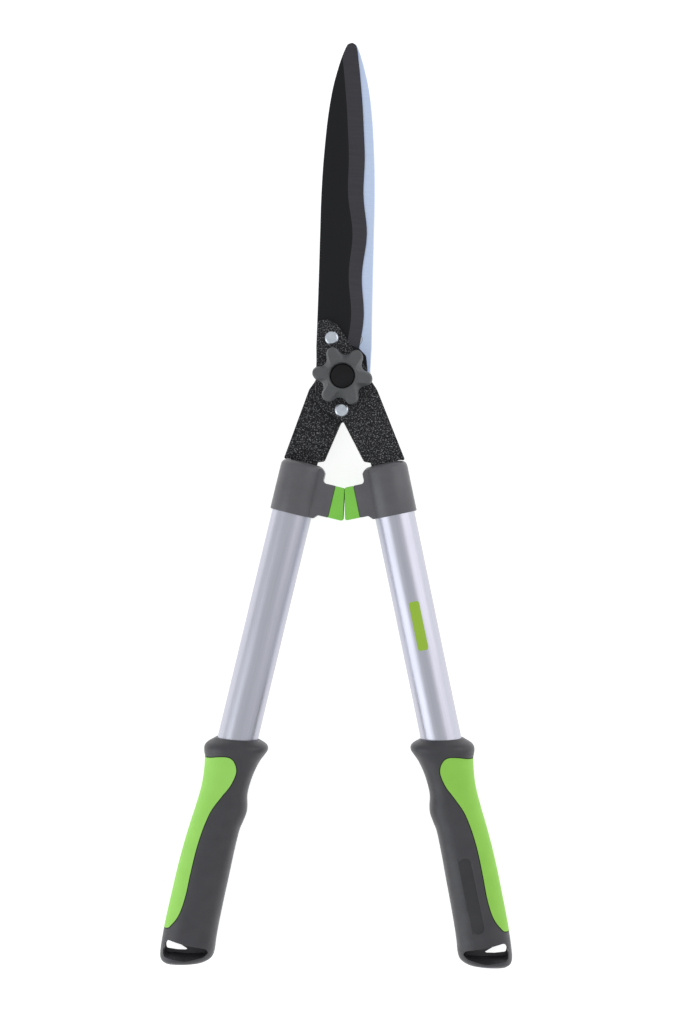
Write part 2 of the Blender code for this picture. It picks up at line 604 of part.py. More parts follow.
def lobe_steps():
    """(turn, share) round the knob, share running from 0 in a valley to 1 at a lobe's tip.

    The outline is a round arc over each lobe and a hollow one through each valley.
    """
    lobe = KNOB_LOBE_RADIUS - KNOB_LOBE_ROUND
    valley = KNOB_VALLEY_RADIUS + KNOB_VALLEY_ROUND
    half = math.pi / KNOB_LOBES
    valley_x, valley_y = valley * math.cos(half), valley * math.sin(half)
    lean = math.atan2(valley_y, valley_x - lobe)
    points = [(lobe + KNOB_LOBE_ROUND * math.cos(a), KNOB_LOBE_ROUND * math.sin(a))
              for a in np.linspace(-lean, lean, 5)]
    points += [(valley_x + KNOB_VALLEY_ROUND * math.cos(a), valley_y + KNOB_VALLEY_ROUND * math.sin(a))
               for a in np.linspace(math.pi + lean, math.pi + 2 * half - lean, 5)[1:-1]]
    steps = []
    for number in range(KNOB_LOBES):
        for x, y in points:
            share = (math.hypot(x, y) - KNOB_VALLEY_RADIUS) / (KNOB_LOBE_RADIUS - KNOB_VALLEY_RADIUS)
            steps.append((math.atan2(y, x) + 2 * half * number, share))
    return steps


def lobed(radius_out, radius_in, height):
    """A ring of points with the knob's lobes."""
    ring = []
    for turn, share in lobe_steps():
        radius = radius_in + (radius_out - radius_in) * share
        ring.append((radius * math.cos(turn), radius * math.sin(turn), height))
    return ring


def knob_mesh():
    """The moulded knob: skirt over the washers, lobes, dished top, nut pocket below."""
    out, valley, skirt, cap = (KNOB_LOBE_RADIUS, KNOB_VALLEY_RADIUS, KNOB_SKIRT_RADIUS,
                               KNOB_CAP_RADIUS)
    edge = KNOB_EDGE
    rings = [lobed(skirt, skirt, KNOB_LOW), lobed(skirt, skirt, LOBE_LOW),
             lobed(out - edge / 2, valley - 0.2 * MM, LOBE_LOW + 0.2 * MM),
             lobed(out, valley, LOBE_LOW + edge),
             lobed(out, valley, KNOB_TOP - 3 * edge),
             lobed(out - edge / 2, (valley + KNOB_SCOOP_RADIUS) / 2, KNOB_TOP - edge),
             lobed(out - edge, KNOB_SCOOP_RADIUS + 0.2 * MM, KNOB_TOP - 0.4 * MM),
             lobed(cap + 1.2 * MM, cap + 1.2 * MM, KNOB_TOP),
             lobed(cap + 0.4 * MM, cap + 0.4 * MM, KNOB_TOP - 0.2 * MM)]
    mesh = loft(rings)
    washers = THRUST_WASHER_RADIUS + SEAT_GAP
    under = KNOB_LOW - MM
    web_low = NUT_TOP + SEAT_GAP
    web_high = CAP_LOW - FACE_GAP
    tools = [turned([(washers, under), (washers, KNOB_SEAT)]),
             prism(hexagon(NUT_ACROSS_FLATS + 2 * SEAT_GAP), KNOB_SEAT - MM, web_low),
             turned([(cap + SEAT_GAP, web_high), (cap + SEAT_GAP, KNOB_TOP + MM)]),
             turned([(BOLT_RADIUS + 2 * RUNNING_GAP, web_low - MM),
                     (BOLT_RADIUS + 2 * RUNNING_GAP, web_high + MM)])]
    return cut(mesh, *tools)


def cap_mesh():
    cap = KNOB_CAP_RADIUS
    top = CAP_LOW + KNOB_CAP_THICKNESS
    return turned([(cap, CAP_LOW), (cap, top - 0.4 * MM), (cap - 0.4 * MM, top)])


# --- assembly ---------------------------------------------------------------------------

def add_half(empty, which, side, finishes, shared):
    """All that one half holds: which is front or rear, side is the handle's side."""
    sign = 1 if which == "front" else -1
    shift = sign * HANDLE_SHIFT
    add_piece(f"{which}_blade", blade_mesh(sign * BLADE_LEAN), finishes["blade"], empty)
    add_piece(f"{which}_tang", tang_mesh(which == "rear", shift), finishes["tang"], empty)
    for place in RIVETS:
        add_piece(f"{which}_{place}_rivet", shared[f"{place}_rivet"], finishes["zinc"], empty)
    c, s = math.cos(HANDLE_ANGLE), math.sin(HANDLE_ANGLE)
    frame = Matrix(((c, 0, s, HANDLE_OFFSET + shift), (s, 0, -c, 0), (0, 1, 0, 0), (0, 0, 0, 1)))
    axis = add_empty(f"{side}_handle_axis", empty, frame)
    for piece, finish in (("tube", "anodised"), ("collar", "plastic"), ("buffer", "green"),
                          ("tang_liner", "plastic"), ("tang_pin", "zinc"),
                          ("grip", "plastic"), ("grip_insert", "green")):
        placed = add_piece(f"{side}_{piece}", shared[piece], finishes[finish], axis)
        if piece.startswith("grip"):
            placed.location.z = -sign * GRIP_STAGGER


def add_pivot(empty, finishes):
    add_piece("pivot_bolt", bolt_mesh(), finishes["zinc"], empty)
    add_piece("thrust_washer", washer_mesh(THRUST_WASHER_RADIUS, THRUST_LOW,
                                           THRUST_WASHER_THICKNESS), finishes["cap"], empty)
    add_piece("wave_washer", washer_mesh(WAVE_WASHER_RADIUS, WAVE_LOW,
                                         WAVE_WASHER_THICKNESS), finishes["zinc"], empty)
    add_piece("flat_washer", washer_mesh(FLAT_WASHER_RADIUS, FLAT_LOW,
                                         FLAT_WASHER_THICKNESS), finishes["zinc"], empty)
    axis = add_empty("knob_axis", empty, Matrix.Rotation(KNOB_TURN, 4, "Z"))
    add_piece("knob", knob_mesh(), finishes["knob"], axis)
    add_piece("knob_nut", nut_mesh(), finishes["zinc"], axis)
    add_piece("knob_cap", cap_mesh(), finishes["cap"], axis)


def stand_on_origin(root):
    """Moves the whole assembly so that its footprint's middle, at ground level, is the origin."""
    bpy.context.view_layer.update()
    pieces = [obj for obj in bpy.data.objects if obj.type == "MESH"]
    corners = np.array([obj.matrix_world @ vertex.co for obj in pieces
                        for vertex in obj.data.vertices])
    low, high = corners.min(axis=0), corners.max(axis=0)
    root.location = (-(low[0] + high[0]) / 2, -(low[1] + high[1]) / 2, -low[2])
    bpy.context.view_layer.update()


def main():
    clear_scene()
    finishes = {
        "blade": material("black_coated_steel", (0.018, 0.019, 0.022), 0.35, 0.6),
        "tang": material("hammered_black", (0.03, 0.03, 0.033), 0.5, 0.2),
        "zinc": material("zinc_plated_steel", (0.45, 0.47, 0.52), 0.3, 1.0),
        "anodised": material("satin_aluminium", (0.62, 0.64, 0.7), 0.35, 1.0),
        "plastic": material("dark_grey_plastic", (0.055, 0.053, 0.058), 0.55),
        "green": material("lime_green_rubber", (0.22, 0.58, 0.08), 0.6),
        "knob": material("grey_knob_plastic", (0.075, 0.084, 0.09), 0.5),
        "cap": material("black_plastic", (0.012, 0.012, 0.014), 0.5),
    }
    shared = {"tube": tube_mesh(), "collar": collar_mesh(), "buffer": buffer_mesh(),
              "tang_liner": liner_mesh(),
              "tang_pin": cross_pin(PIN_RADIUS, TUBE_RADIUS - SEAT_GAP),
              "grip": grip_mesh(), "grip_insert": insert_mesh()}
    shared.update({f"{name}_rivet": rivet_shape(place) for name, place in RIVETS.items()})
    root = add_empty("shears")
    rear = add_empty("rear_half", root, Matrix.Rotation(math.pi, 4, "Y"))
    front = add_empty("front_half", root)
    pivot = add_empty("pivot_axis", root)
    add_half(front, "front", "right", finishes, shared)
    add_half(rear, "rear", "left", finishes, shared)
    add_pivot(pivot, finishes)
    stand_on_origin(root)


main()
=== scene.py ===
"""Finished hedge shears: coated wavy blades, hammered tangs, satin tubes and moulded grips.

The pieces are made in the order in which the tool is put together. Lengths are in
millimetres, made into metres with MM, and angles in degrees, made into radians.
"""

import json
import math

import bmesh
import bpy
import numpy as np
from mathutils import Matrix, Vector


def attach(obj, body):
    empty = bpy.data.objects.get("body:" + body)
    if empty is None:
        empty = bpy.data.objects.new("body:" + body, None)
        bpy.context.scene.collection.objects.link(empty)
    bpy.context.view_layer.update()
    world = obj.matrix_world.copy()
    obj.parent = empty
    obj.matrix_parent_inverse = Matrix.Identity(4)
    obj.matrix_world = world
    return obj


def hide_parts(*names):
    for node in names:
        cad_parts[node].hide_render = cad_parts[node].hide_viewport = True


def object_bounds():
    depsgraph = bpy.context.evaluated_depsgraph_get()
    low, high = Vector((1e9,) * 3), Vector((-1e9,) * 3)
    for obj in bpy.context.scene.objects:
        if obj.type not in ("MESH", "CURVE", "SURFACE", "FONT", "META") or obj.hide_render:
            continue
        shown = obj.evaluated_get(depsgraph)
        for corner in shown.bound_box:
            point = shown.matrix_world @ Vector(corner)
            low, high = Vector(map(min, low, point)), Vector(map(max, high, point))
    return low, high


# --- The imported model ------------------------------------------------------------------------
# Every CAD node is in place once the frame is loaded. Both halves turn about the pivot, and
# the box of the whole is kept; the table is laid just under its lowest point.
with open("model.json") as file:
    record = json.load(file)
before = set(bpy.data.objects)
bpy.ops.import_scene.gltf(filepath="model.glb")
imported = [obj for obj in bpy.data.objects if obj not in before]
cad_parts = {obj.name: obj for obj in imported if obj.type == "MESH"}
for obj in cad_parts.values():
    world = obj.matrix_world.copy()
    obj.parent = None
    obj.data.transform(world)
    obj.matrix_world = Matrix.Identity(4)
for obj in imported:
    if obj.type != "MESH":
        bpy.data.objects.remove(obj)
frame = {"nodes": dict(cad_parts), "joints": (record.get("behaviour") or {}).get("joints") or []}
cad_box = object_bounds()
MM = 0.001
pivot = Vector(next(joint["pos_m"] for joint in frame["joints"] if joint["name"] == "blade_pivot"))

# --- Table, lights and camera ----------------------------------------------------------------
# The shears lie on a white light table between two softboxes: a cool, brighter one by the left
# grip and a warmer one by the tips on the right. The camera hangs over the middle of the tool.
TABLE_HALF = 6.0                # metres from the table's middle to its edges
TABLE_DROP = 0.3 * MM           # below the tool's lowest point
TABLE_GLOW = 0.79
ROOM_LIGHT = 0.70
CAMERA_HEIGHT = 1400 * MM
CAMERA_ASIDE = 46 * MM          # to the right of the tool's middle
CAMERA_ROLL = math.radians(0.925)
CAMERA_LENS = 75.77
VIEW_DOWN = 87.4 * MM           # from the pivot to the middle of the view, down the tool
VIEW_LEFT = 1.13 * MM


def new_finish(name, roughness, metallic=0.0, specular=0.5):
    """A material whose even values are set; the piece that needs it adds its texture nodes."""
    made = bpy.data.materials.new(name)
    made.use_nodes = True
    shader = made.node_tree.nodes["Principled BSDF"]
    shader.inputs["Roughness"].default_value = roughness
    shader.inputs["Metallic"].default_value = metallic
    shader.inputs["Specular IOR Level"].default_value = specular
    return made


def grain(made, size, stretch=(1, 1, 1), detail=3.0):
    """Noise fixed to the piece: size is one cell in metres, made longer by stretch."""
    nodes, links = made.node_tree.nodes, made.node_tree.links
    place = nodes.new("ShaderNodeTexCoord")
    spread = nodes.new("ShaderNodeMapping")
    spread.inputs["Scale"].default_value = [1 / share for share in stretch]
    noise = nodes.new("ShaderNodeTexNoise")
    noise.inputs["Scale"].default_value = 1 / size
    noise.inputs["Detail"].default_value = detail
    links.new(place.outputs["Object"], spread.inputs["Vector"])
    links.new(spread.outputs["Vector"], noise.inputs["Vector"])
    return noise.outputs["Fac"]


def colour_from(made, factor, *stops):
    """Base colour from a texture: each stop is the factor and the colour it gives."""
    ramp = made.node_tree.nodes.new("ShaderNodeValToRGB")
    while len(ramp.color_ramp.elements) < len(stops):
        ramp.color_ramp.elements.new(1.0)
    for element, (place, colour) in zip(ramp.color_ramp.elements, stops):
        element.position = place
        element.color = (*colour, 1.0)
    shader = made.node_tree.nodes["Principled BSDF"]
    made.node_tree.links.new(factor, ramp.inputs["Fac"])
    made.node_tree.links.new(ramp.outputs["Color"], shader.inputs["Base Color"])
    return ramp.outputs["Color"]


def value_from(made, factor, socket, low, high):
    """A shader value that varies with a texture: low where the texture is dark."""
    nodes, links = made.node_tree.nodes, made.node_tree.links
    spread = nodes.new("ShaderNodeMapRange")
    spread.inputs["From Min"].default_value = 0.3
    spread.inputs["From Max"].default_value = 0.7
    spread.inputs["To Min"].default_value = low
    spread.inputs["To Max"].default_value = high
    links.new(factor, spread.inputs["Value"])
    links.new(spread.outputs["Result"], nodes["Principled BSDF"].inputs[socket])


def relief(made, factor, height, under=None):
    """Bump of a given height in metres, laid over another bump if there is one."""
    nodes, links = made.node_tree.nodes, made.node_tree.links
    bump = nodes.new("ShaderNodeBump")
    bump.inputs["Distance"].default_value = height
    links.new(factor, bump.inputs["Height"])
    if under:
        links.new(under, bump.inputs["Normal"])
    links.new(bump.outputs["Normal"], nodes["Principled BSDF"].inputs["Normal"])
    return bump.outputs["Normal"]


def add_softbox(name, place, width, length, power, colour):
    """A rectangular area light that faces the middle of the tool."""
    light = bpy.data.lights.new(name, "AREA")
    light.shape = "RECTANGLE"
    light.size = width
    light.size_y = length
    light.energy = power
    light.color = colour
    lamp = bpy.data.objects.new(name, light)
    lamp.location = place
    lamp.rotation_euler = (-Vector(place)).to_track_quat("-Z", "Y").to_euler()
    bpy.context.scene.collection.objects.link(lamp)


table = bpy.data.meshes.new("light_table")
level = cad_box[0].z - TABLE_DROP
table.from_pydata([(x * TABLE_HALF, y * TABLE_HALF, level)
                   for x, y in ((-1, -1), (1, -1), (1, 1), (-1, 1))], [], [(0, 1, 2, 3)])
table_white = new_finish("light_table_white", 0.7, specular=0.1)
colour_from(table_white, grain(table_white, 0.4),
            (0.3, (0.49, 0.49, 0.495)), (0.7, (0.52, 0.52, 0.525)))
glow = table_white.node_tree.nodes["Principled BSDF"].inputs
glow["Emission Color"].default_value = (1.0, 1.0, 1.0, 1.0)
glow["Emission Strength"].default_value = TABLE_GLOW
table.materials.append(table_white)
light_table = bpy.data.objects.new("light_table", table)
bpy.context.scene.collection.objects.link(light_table)

add_softbox("softbox_left", (-1.5, -0.7, 0.75), 1.2, 1.7, 8.8, (0.94, 0.975, 1.0))
add_softbox("softbox_right", (1.5, 0.5, 0.95), 1.3, 1.8, 7.4, (1.0, 0.955, 0.99))

room = bpy.data.worlds.new("room")
room.use_nodes = True
room.node_tree.nodes["Background"].inputs["Color"].default_value = (0.97, 0.985, 1.0, 1.0)
room.node_tree.nodes["Background"].inputs["Strength"].default_value = ROOM_LIGHT
bpy.context.scene.world = room
bpy.context.scene.view_settings.view_transform = "Standard"

up_the_view = Vector((-math.sin(CAMERA_ROLL), math.cos(CAMERA_ROLL), 0.0))
across_the_view = Vector((math.cos(CAMERA_ROLL), math.sin(CAMERA_ROLL), 0.0))
aim = pivot - up_the_view * VIEW_DOWN - across_the_view * VIEW_LEFT
stand = aim + across_the_view * CAMERA_ASIDE + Vector((0.0, 0.0, CAMERA_HEIGHT))
back = (stand - aim).normalized()
right = up_the_view.cross(back).normalized()
lens = bpy.data.cameras.new("camera")
lens.lens = CAMERA_LENS
camera = bpy.data.objects.new("camera", lens)
facing = Matrix((right, back.cross(right), back)).transposed()
camera.matrix_world = Matrix.Translation(stand) @ facing.to_4x4()
bpy.context.scene.collection.objects.link(camera)
bpy.context.scene.camera = camera

# --- Blades ----------------------------------------------------------------------------------
# Each blade is stamped from 3 mm spring steel and coated black. Its wavy edge is then ground
# from the outer face, in one wide bevel, and the flat inner face is ground bare all over.
# The front blade is on the knob's side; the rear one is the same blade turned over.
SHEAR_PLANE = 0.15 * MM         # half the gap between the blades
BLADE_THICKNESS = 3.0 * MM
BLADE_REACH = 217.5 * MM
BLADE_LEAN = math.radians(0.625)
EDGE_LAND = 0.45 * MM
EDGE_START = 19.4 * MM
SPINE_ROUND = 0.35 * MM
TIP_SPAN = 8 * MM               # where the sections lie closer together
PIVOT_HOLE = 4.1
RIVET_HOLE = 3.12
COUNTERSINK = 4.42
COATED, GROUND, BARE = 0, 1, 2  # which finish a face of the blade has
WAVE_LENGTH = 55.0
WAVE_HEIGHT = 1.2
WAVE_CREST = 39.0
SPINE = [(19, 17.95), (51, 17.6), (88, 17.45), (115, 17.35), (133, 16.85), (152, 15.75),
         (170, 14.2), (179, 13.05), (188, 11.55), (197, 9.45), (206, 6.9), (212, 4.8),
         (215, 3.5), (216.7, 2.2), (217.5, 0.3)]
MEAN_EDGE = [(19, 10.6), (60, 11.5), (94, 11.65), (120, 10.8), (145, 9.7), (168, 8.6),
             (187, 6.8), (206.5, 4.4), (213, 3.4), (215.5, 2.6), (216.9, 1.4), (217.5, 0.1)]
HEEL = [(9.9, 19.0, 0.5), (14.6, 14.2, 3.0), (15.9, 4.0, 6.0), (7.6, -27.4, 6.5),
        (-8.8, -27.4, 6.5), (-17.0, -8.0, 6.0)]
RIVETS = {"upper": (-7.7, 25.0), "lower": (-0.5, -21.3)}
FRONT = Matrix.Translation(pivot)
REAR = FRONT @ Matrix.Rotation(math.pi, 4, "Y")


def rounded(corners, closed=True, step=9.0):
    """Points of a polygon of (x, y, corner radius), each corner cut as an arc."""
    points = []
    for index, (x, y, radius) in enumerate(corners):
        here = np.array((x, y), float)
        if not closed and index in (0, len(corners) - 1):
            points.append(here)
            continue
        before = np.array(corners[index - 1][:2]) - here
        after = np.array(corners[(index + 1) % len(corners)][:2]) - here
        room_for = 0.48 * min(np.linalg.norm(before), np.linalg.norm(after))
        before, after = before / np.linalg.norm(before), after / np.linalg.norm(after)
        half = math.acos(np.clip(before @ after, -1, 1)) / 2
        tangent = min(radius / math.tan(half), room_for)
        radius = tangent * math.tan(half)
        middle = here + (before + after) / np.linalg.norm(before + after) * radius / math.sin(half)
        start = here + before * tangent - middle
        side = math.copysign(1, before[1] * after[0] - before[0] * after[1])
        sweep = math.pi - 2 * half
        steps = max(1, math.ceil(math.degrees(sweep) / step))
        for turn in np.linspace(0, side * sweep, steps + 1):
            c, s = math.cos(turn), math.sin(turn)
            points.append(middle + (c * start[0] - s * start[1], s * start[0] + c * start[1]))
    return np.array(points)


def smooth_at(stations, place):
    """The value at a place on a smooth curve through (place, value) stations."""
    places, values = np.array(stations, float).T
    slopes = np.gradient(values, places)
    k = int(np.clip(np.searchsorted(places, place) - 1, 0, len(places) - 2))
    step = places[k + 1] - places[k]
    u = np.clip((place - places[k]) / step, 0, 1)
    return ((2 * u**3 - 3 * u**2 + 1) * values[k] + (u**3 - 2 * u**2 + u) * step * slopes[k]
            + (3 * u**2 - 2 * u**3) * values[k + 1] + (u**3 - u**2) * step * slopes[k + 1])


def mesh_of(points, faces, crease=30.0):
    """A mesh with its faces outwards, smooth but for edges sharper than crease degrees."""
    mesh = bpy.data.meshes.new("piece")
    mesh.from_pydata([tuple(point) for point in points], [], [tuple(face) for face in faces])
    work = bmesh.new()
    work.from_mesh(mesh)
    bmesh.ops.recalc_face_normals(work, faces=work.faces)
    work.to_mesh(mesh)
    work.free()
    mesh.shade_smooth()
    mesh.set_sharp_from_angle(angle=math.radians(crease))
    return mesh


def loft(rings, crease=30.0, ends=True):
    """A mesh through rings of points; without ends the last ring joins the first."""
    sides = len(rings[0])
    points = [point for ring in rings for point in ring]
    faces = []
    for ring in range(len(rings) - ends):
        low = ring * sides
        high = (ring + 1) % len(rings) * sides
        for side in range(sides):
            after = (side + 1) % sides
            faces.append((low + side, low + after, high + after, high + side))
    if ends:
        faces += [range(sides), range(len(points) - sides, len(points))]
    return mesh_of(points, faces, crease)


def circle(radius, sides=64, middle=(0, 0)):
    """Points evenly spaced round a circle."""
    turns = np.linspace(0, 2 * math.pi, sides, endpoint=False)
    return [(middle[0] + radius * math.cos(a), middle[1] + radius * math.sin(a)) for a in turns]


def prism(outline, low, high):
    """A straight-sided mesh on an outline of (x, y) points."""
    return loft([[(x, y, z) for x, y in outline] for z in (low, high)])


def carved(mesh, *tools, operation="DIFFERENCE", crease=30.0):
    """The mesh after a Boolean with each tool in turn; the tools are used up."""
    body = bpy.data.objects.new("work", mesh)
    helpers = [bpy.data.objects.new("tool", tool) for tool in tools]
    for obj in (body, *helpers):
        bpy.context.scene.collection.objects.link(obj)
    for helper in helpers:
        modifier = body.modifiers.new("carve", "BOOLEAN")
        modifier.operation = operation
        modifier.object = helper
    bpy.context.view_layer.update()
    result = bpy.data.meshes.new_from_object(body.evaluated_get(bpy.context.evaluated_depsgraph_get()))
    for obj in (body, *helpers):
        bpy.data.objects.remove(obj)
    result.shade_smooth()
    result.set_sharp_from_angle(angle=math.radians(crease))
    return result


def add_piece(name, mesh, matrix, body, slot, node, *finishes):
    """Shows a finished piece in place of its CAD node, riding on the same body."""
    piece = bpy.data.objects.new(name, mesh)
    for finish in finishes:
        if finish.name not in mesh.materials:
            mesh.materials.append(finish)
    piece.matrix_world = matrix
    bpy.context.scene.collection.objects.link(piece)
    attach(piece, body)
    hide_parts(node)
    return piece


def edge_x(y):
    """How far the wavy cutting edge is from the blade's own middle."""
    fade = np.clip((y / MM - 100.0) / 72.0, 0, 1)
    wave = WAVE_HEIGHT * (1 - fade) * math.cos(2 * math.pi * (y / MM - WAVE_CREST) / WAVE_LENGTH)
    return (smooth_at(MEAN_EDGE, y / MM) + wave) * MM


def spine_x(y):
    return -smooth_at(SPINE, y / MM) * MM


def bevel_width(y):
    """The ground bevel widens from 8.2 mm near the pivot to 10.3 mm in the outer half."""
    u = np.clip((y / MM - 40.0) / 105.0, 0, 1)
    return (8.2 + 2.1 * u * u * (3 - 2 * u)) * MM * np.clip(0.15 + (y - EDGE_START) / (3 * MM), 0, 1)


def blade_section(y):
    """Eight points round the blade: inner face, edge, land, bevel, outer face, spine."""
    edge, spine, width = edge_x(y), spine_x(y), bevel_width(y)
    small = min(SPINE_ROUND, 0.2 * (edge - spine))
    share = min(1.0, (edge - spine - 1.5 * small) / max(width, 1e-6))
    low = SHEAR_PLANE
    top = low + EDGE_LAND + (BLADE_THICKNESS - EDGE_LAND) * share
    return [(spine + small, y, low), (edge - 0.05 * MM, y, low), (edge, y, low + 0.08 * MM),
            (edge, y, low + EDGE_LAND), (edge - share * width, y, top),
            (spine + small, y, top), (spine, y, top - small), (spine, y, low + small)]


def blade_mesh(lean):
    """One blade in its half's frame: sections from edge start to tip, then the heel plate."""
    near_tip = BLADE_REACH - TIP_SPAN * (1 - np.sin(np.linspace(0.08, 1, 22) * math.pi / 2))
    rows = np.concatenate([np.linspace(EDGE_START, BLADE_REACH - TIP_SPAN, 150), near_tip])
    points = [point for y in rows for point in blade_section(y)]
    faces, kinds = [], []
    for start in range(0, len(points) - 8, 8):
        for side in range(8):
            after = (side + 1) % 8
            faces.append((start + side, start + after, start + 8 + after, start + 8 + side))
            kinds.append({0: BARE, 1: GROUND, 2: GROUND, 3: GROUND, 7: BARE}.get(side, COATED))
    faces.append(range(len(points) - 8, len(points)))
    kinds.append(GROUND)
    heel = rounded([(edge_x(EDGE_START) / MM, EDGE_START / MM, 0), *HEEL,
                    (spine_x(EDGE_START) / MM, EDGE_START / MM, 0)], closed=False)[1:-1] * MM
    ahead = np.gradient(heel, axis=0)
    inward = np.stack([ahead[:, 1], -ahead[:, 0]], 1) / np.linalg.norm(ahead, axis=1)[:, None]
    low, high = SHEAR_PLANE, SHEAR_PLANE + BLADE_THICKNESS
    levels = []
    for inset, z in ((1, low), (0, low + SPINE_ROUND), (0, high - SPINE_ROUND), (1, high)):
        levels.append(len(points))
        points += [(x, y, z) for x, y in heel + inward * SPINE_ROUND * inset]
    last = len(heel) - 1
    a, b, c, d = levels
    faces += [(1, *range(a, a + last + 1), 0), (4, *range(d, d + last + 1), 5),
              (1, 2, 3, 4, d, c, b, a), (0, 7, b + last, a + last),
              (7, 6, c + last, b + last), (6, 5, d + last, c + last)]
    kinds += [BARE, COATED, GROUND, BARE, COATED, COATED]
    for lower, upper, kind in ((a, b, BARE), (b, c, COATED), (c, d, COATED)):
        faces += [(lower + k, lower + k + 1, upper + k + 1, upper + k) for k in range(last)]
        kinds += [kind] * last
    mesh = mesh_of(points, faces, crease=9.0)
    for finish in (black_coat, bevel_ground_and_painted_light, bare_face):
        mesh.materials.append(finish)
    mesh.polygons.foreach_set("material_index", kinds)
    mesh.transform(Matrix.Rotation(-lean, 4, "Z"))
    holes = [prism(circle(PIVOT_HOLE * MM), -MM, high + MM)]
    for x, y in RIVETS.values():
        holes.append(loft([[(*point, z) for point in circle(radius * MM, 32, (x * MM, y * MM))]
                           for radius, z in ((COUNTERSINK, -MM), (COUNTERSINK, 0.2 * MM),
                                             (RIVET_HOLE, 1.5 * MM), (RIVET_HOLE, high + MM))]))
    return carved(mesh, *holes, crease=9.0)


black_coat = new_finish("blade_black_coat", 0.42, specular=0.22)
colour_from(black_coat, grain(black_coat, 30 * MM, (1, 4, 1)),
            (0.35, (0.0068, 0.0072, 0.0088)), (0.65, (0.0088, 0.0092, 0.0108)))
value_from(black_coat, grain(black_coat, 6 * MM, (1, 3, 1)), "Roughness", 0.38, 0.47)
relief(black_coat, grain(black_coat, 0.5 * MM, detail=2.0), 0.004 * MM)

# The bevel is painted a little lighter than the flat black coat. This is partly its ground finish and
# partly painted light for the way its slope catches the softboxes.
bevel_ground_and_painted_light = new_finish("blade_bevel_ground_and_painted_light", 0.4, metallic=0.25, specular=0.3)
colour_from(bevel_ground_and_painted_light, grain(bevel_ground_and_painted_light, 1.2 * MM, (12, 1, 12), detail=5.0),
            (0.3, (0.034, 0.032, 0.040)), (0.7, (0.042, 0.040, 0.048)))
relief(bevel_ground_and_painted_light, grain(bevel_ground_and_painted_light, 0.35 * MM, (25, 1, 25)), 0.006 * MM)

bare_face = new_finish("blade_bare_face", 0.33, metallic=0.35)
colour_from(bare_face, grain(bare_face, 0.9 * MM, (9, 1, 9), detail=5.0),
            (0.3, (0.59, 0.70, 0.92)), (0.7, (0.64, 0.75, 0.97)))
value_from(bare_face, grain(bare_face, 1.6 * MM, (5, 1, 5)), "Roughness", 0.28, 0.38)
relief(bare_face, grain(bare_face, 0.4 * MM, (20, 1, 20)), 0.006 * MM)

for side, place, lean in (("front", FRONT, BLADE_LEAN), ("rear", REAR, -BLADE_LEAN)):
    add_piece(f"{side}_blade_finished", blade_mesh(lean), place, f"{side}_half", "coated_blade",
              f"{side}_blade")

# --- Tangs -----------------------------------------------------------------------------------
# A tang is a flat steel arm riveted to the outer face of its blade. It is blanked from 3.5 mm
# plate, its edges are rolled over, and it is painted in hammered black, with grey flecks.
TANG_LOW = 3.2 * MM
TANG_HIGH = 6.7 * MM
TANG_OUTLINE = [(-17.0, 36.9, 4.0), (-17.4, 8.0, 20.0), (-17.7, -12.4, 6.0),
                (-13.4, -21.0, 3.0), (1.0, -29.6, 3.0)]
TANG_FORK = (12.9, -54.7, 2.0)
TANG_SHOULDER = [(36.6, -53.1, 1.0), (39.7, -53.4, 1.5)]
TANG_OUTER = [(22.3, -8.0, 3.2), (18.6, -2.6, 4.0), (15.2, 5.2, 6.0),
              (7.4, 16.4, 6.0), (3.0, 23.6, 3.0), (-4.6, 34.2, 3.0), (-9.5, 36.9, 4.0)]
NECK_HALF = 8.5
NECK_START = (54.8, 56.8)
NECK_END = 112.0
HANDLE_ANGLE = math.radians(12.62)
HANDLE_OFFSET = 13.6            # of the handle's axis from the pivot, across the tool
HANDLE_SHIFT = 1.5              # further out on the right, further in on the left


def edged_plate(outline, low, high, edge):
    """A plate on an outline, with its upper and lower rims rounded by edge."""
    outline = np.asarray(outline)
    ahead = np.roll(outline, -1, 0) - np.roll(outline, 1, 0)
    inward = np.stack([-ahead[:, 1], ahead[:, 0]], 1) / np.linalg.norm(ahead, axis=1)[:, None]
    around = outline * np.roll(outline, -1, 0)[:, ::-1]
    inward *= np.sign((around[:, 0] - around[:, 1]).sum())
    rings = []
    for share, z in ((1, low), (0.35, low + 0.15 * edge), (0, low + edge), (0, high - edge),
                     (0.35, high - 0.15 * edge), (1, high)):
        rings.append([(x, y, z) for x, y in outline + inward * edge * share])
    return loft(rings, crease=50.0)


def tang_mesh(shift):
    """The arm of one half, with its neck running down inside the handle."""
    c, s = math.cos(HANDLE_ANGLE), math.sin(HANDLE_ANGLE)
    neck = []
    for reach, along in ((-NECK_HALF, NECK_START[0]), (-NECK_HALF, NECK_END),
                         (NECK_HALF, NECK_END), (NECK_HALF, NECK_START[1])):
        neck.append((HANDLE_OFFSET + shift + along * s + reach * c, reach * s - along * c, 0.9))
    fork, *shoulder = ((x + shift, y, radius) for x, y, radius in (TANG_FORK, *TANG_SHOULDER))
    outline = rounded([*TANG_OUTLINE, fork, *neck, *shoulder, *TANG_OUTER]) * MM
    mesh = edged_plate(outline, TANG_LOW, TANG_HIGH, 0.5 * MM)
    holes = [prism(circle(PIVOT_HOLE * MM), 0, 9 * MM)]
    holes += [prism(circle(RIVET_HOLE * MM, 32, (x * MM, y * MM)), 0, 9 * MM)
              for x, y in RIVETS.values()]
    return carved(mesh, *holes, crease=50.0)


def hammered_paint(name, size):
    """Wrinkled black paint: pale flecks on its small rounded bumps, black between them."""
    made = new_finish(name, 0.4, specular=0.22)
    flecks = grain(made, size, detail=2.0)
    colour_from(made, flecks, (0.44, (0.005, 0.005, 0.006)), (0.52, (0.015, 0.015, 0.017)),
                (0.59, (0.068, 0.069, 0.074)), (0.69, (0.23, 0.232, 0.24)))
    value_from(made, grain(made, 2.2 * MM), "Roughness", 0.30, 0.46)
    under = relief(made, grain(made, 2.2 * MM, detail=1.0), 0.16 * MM)
    relief(made, flecks, 0.10 * MM, under)
    return made


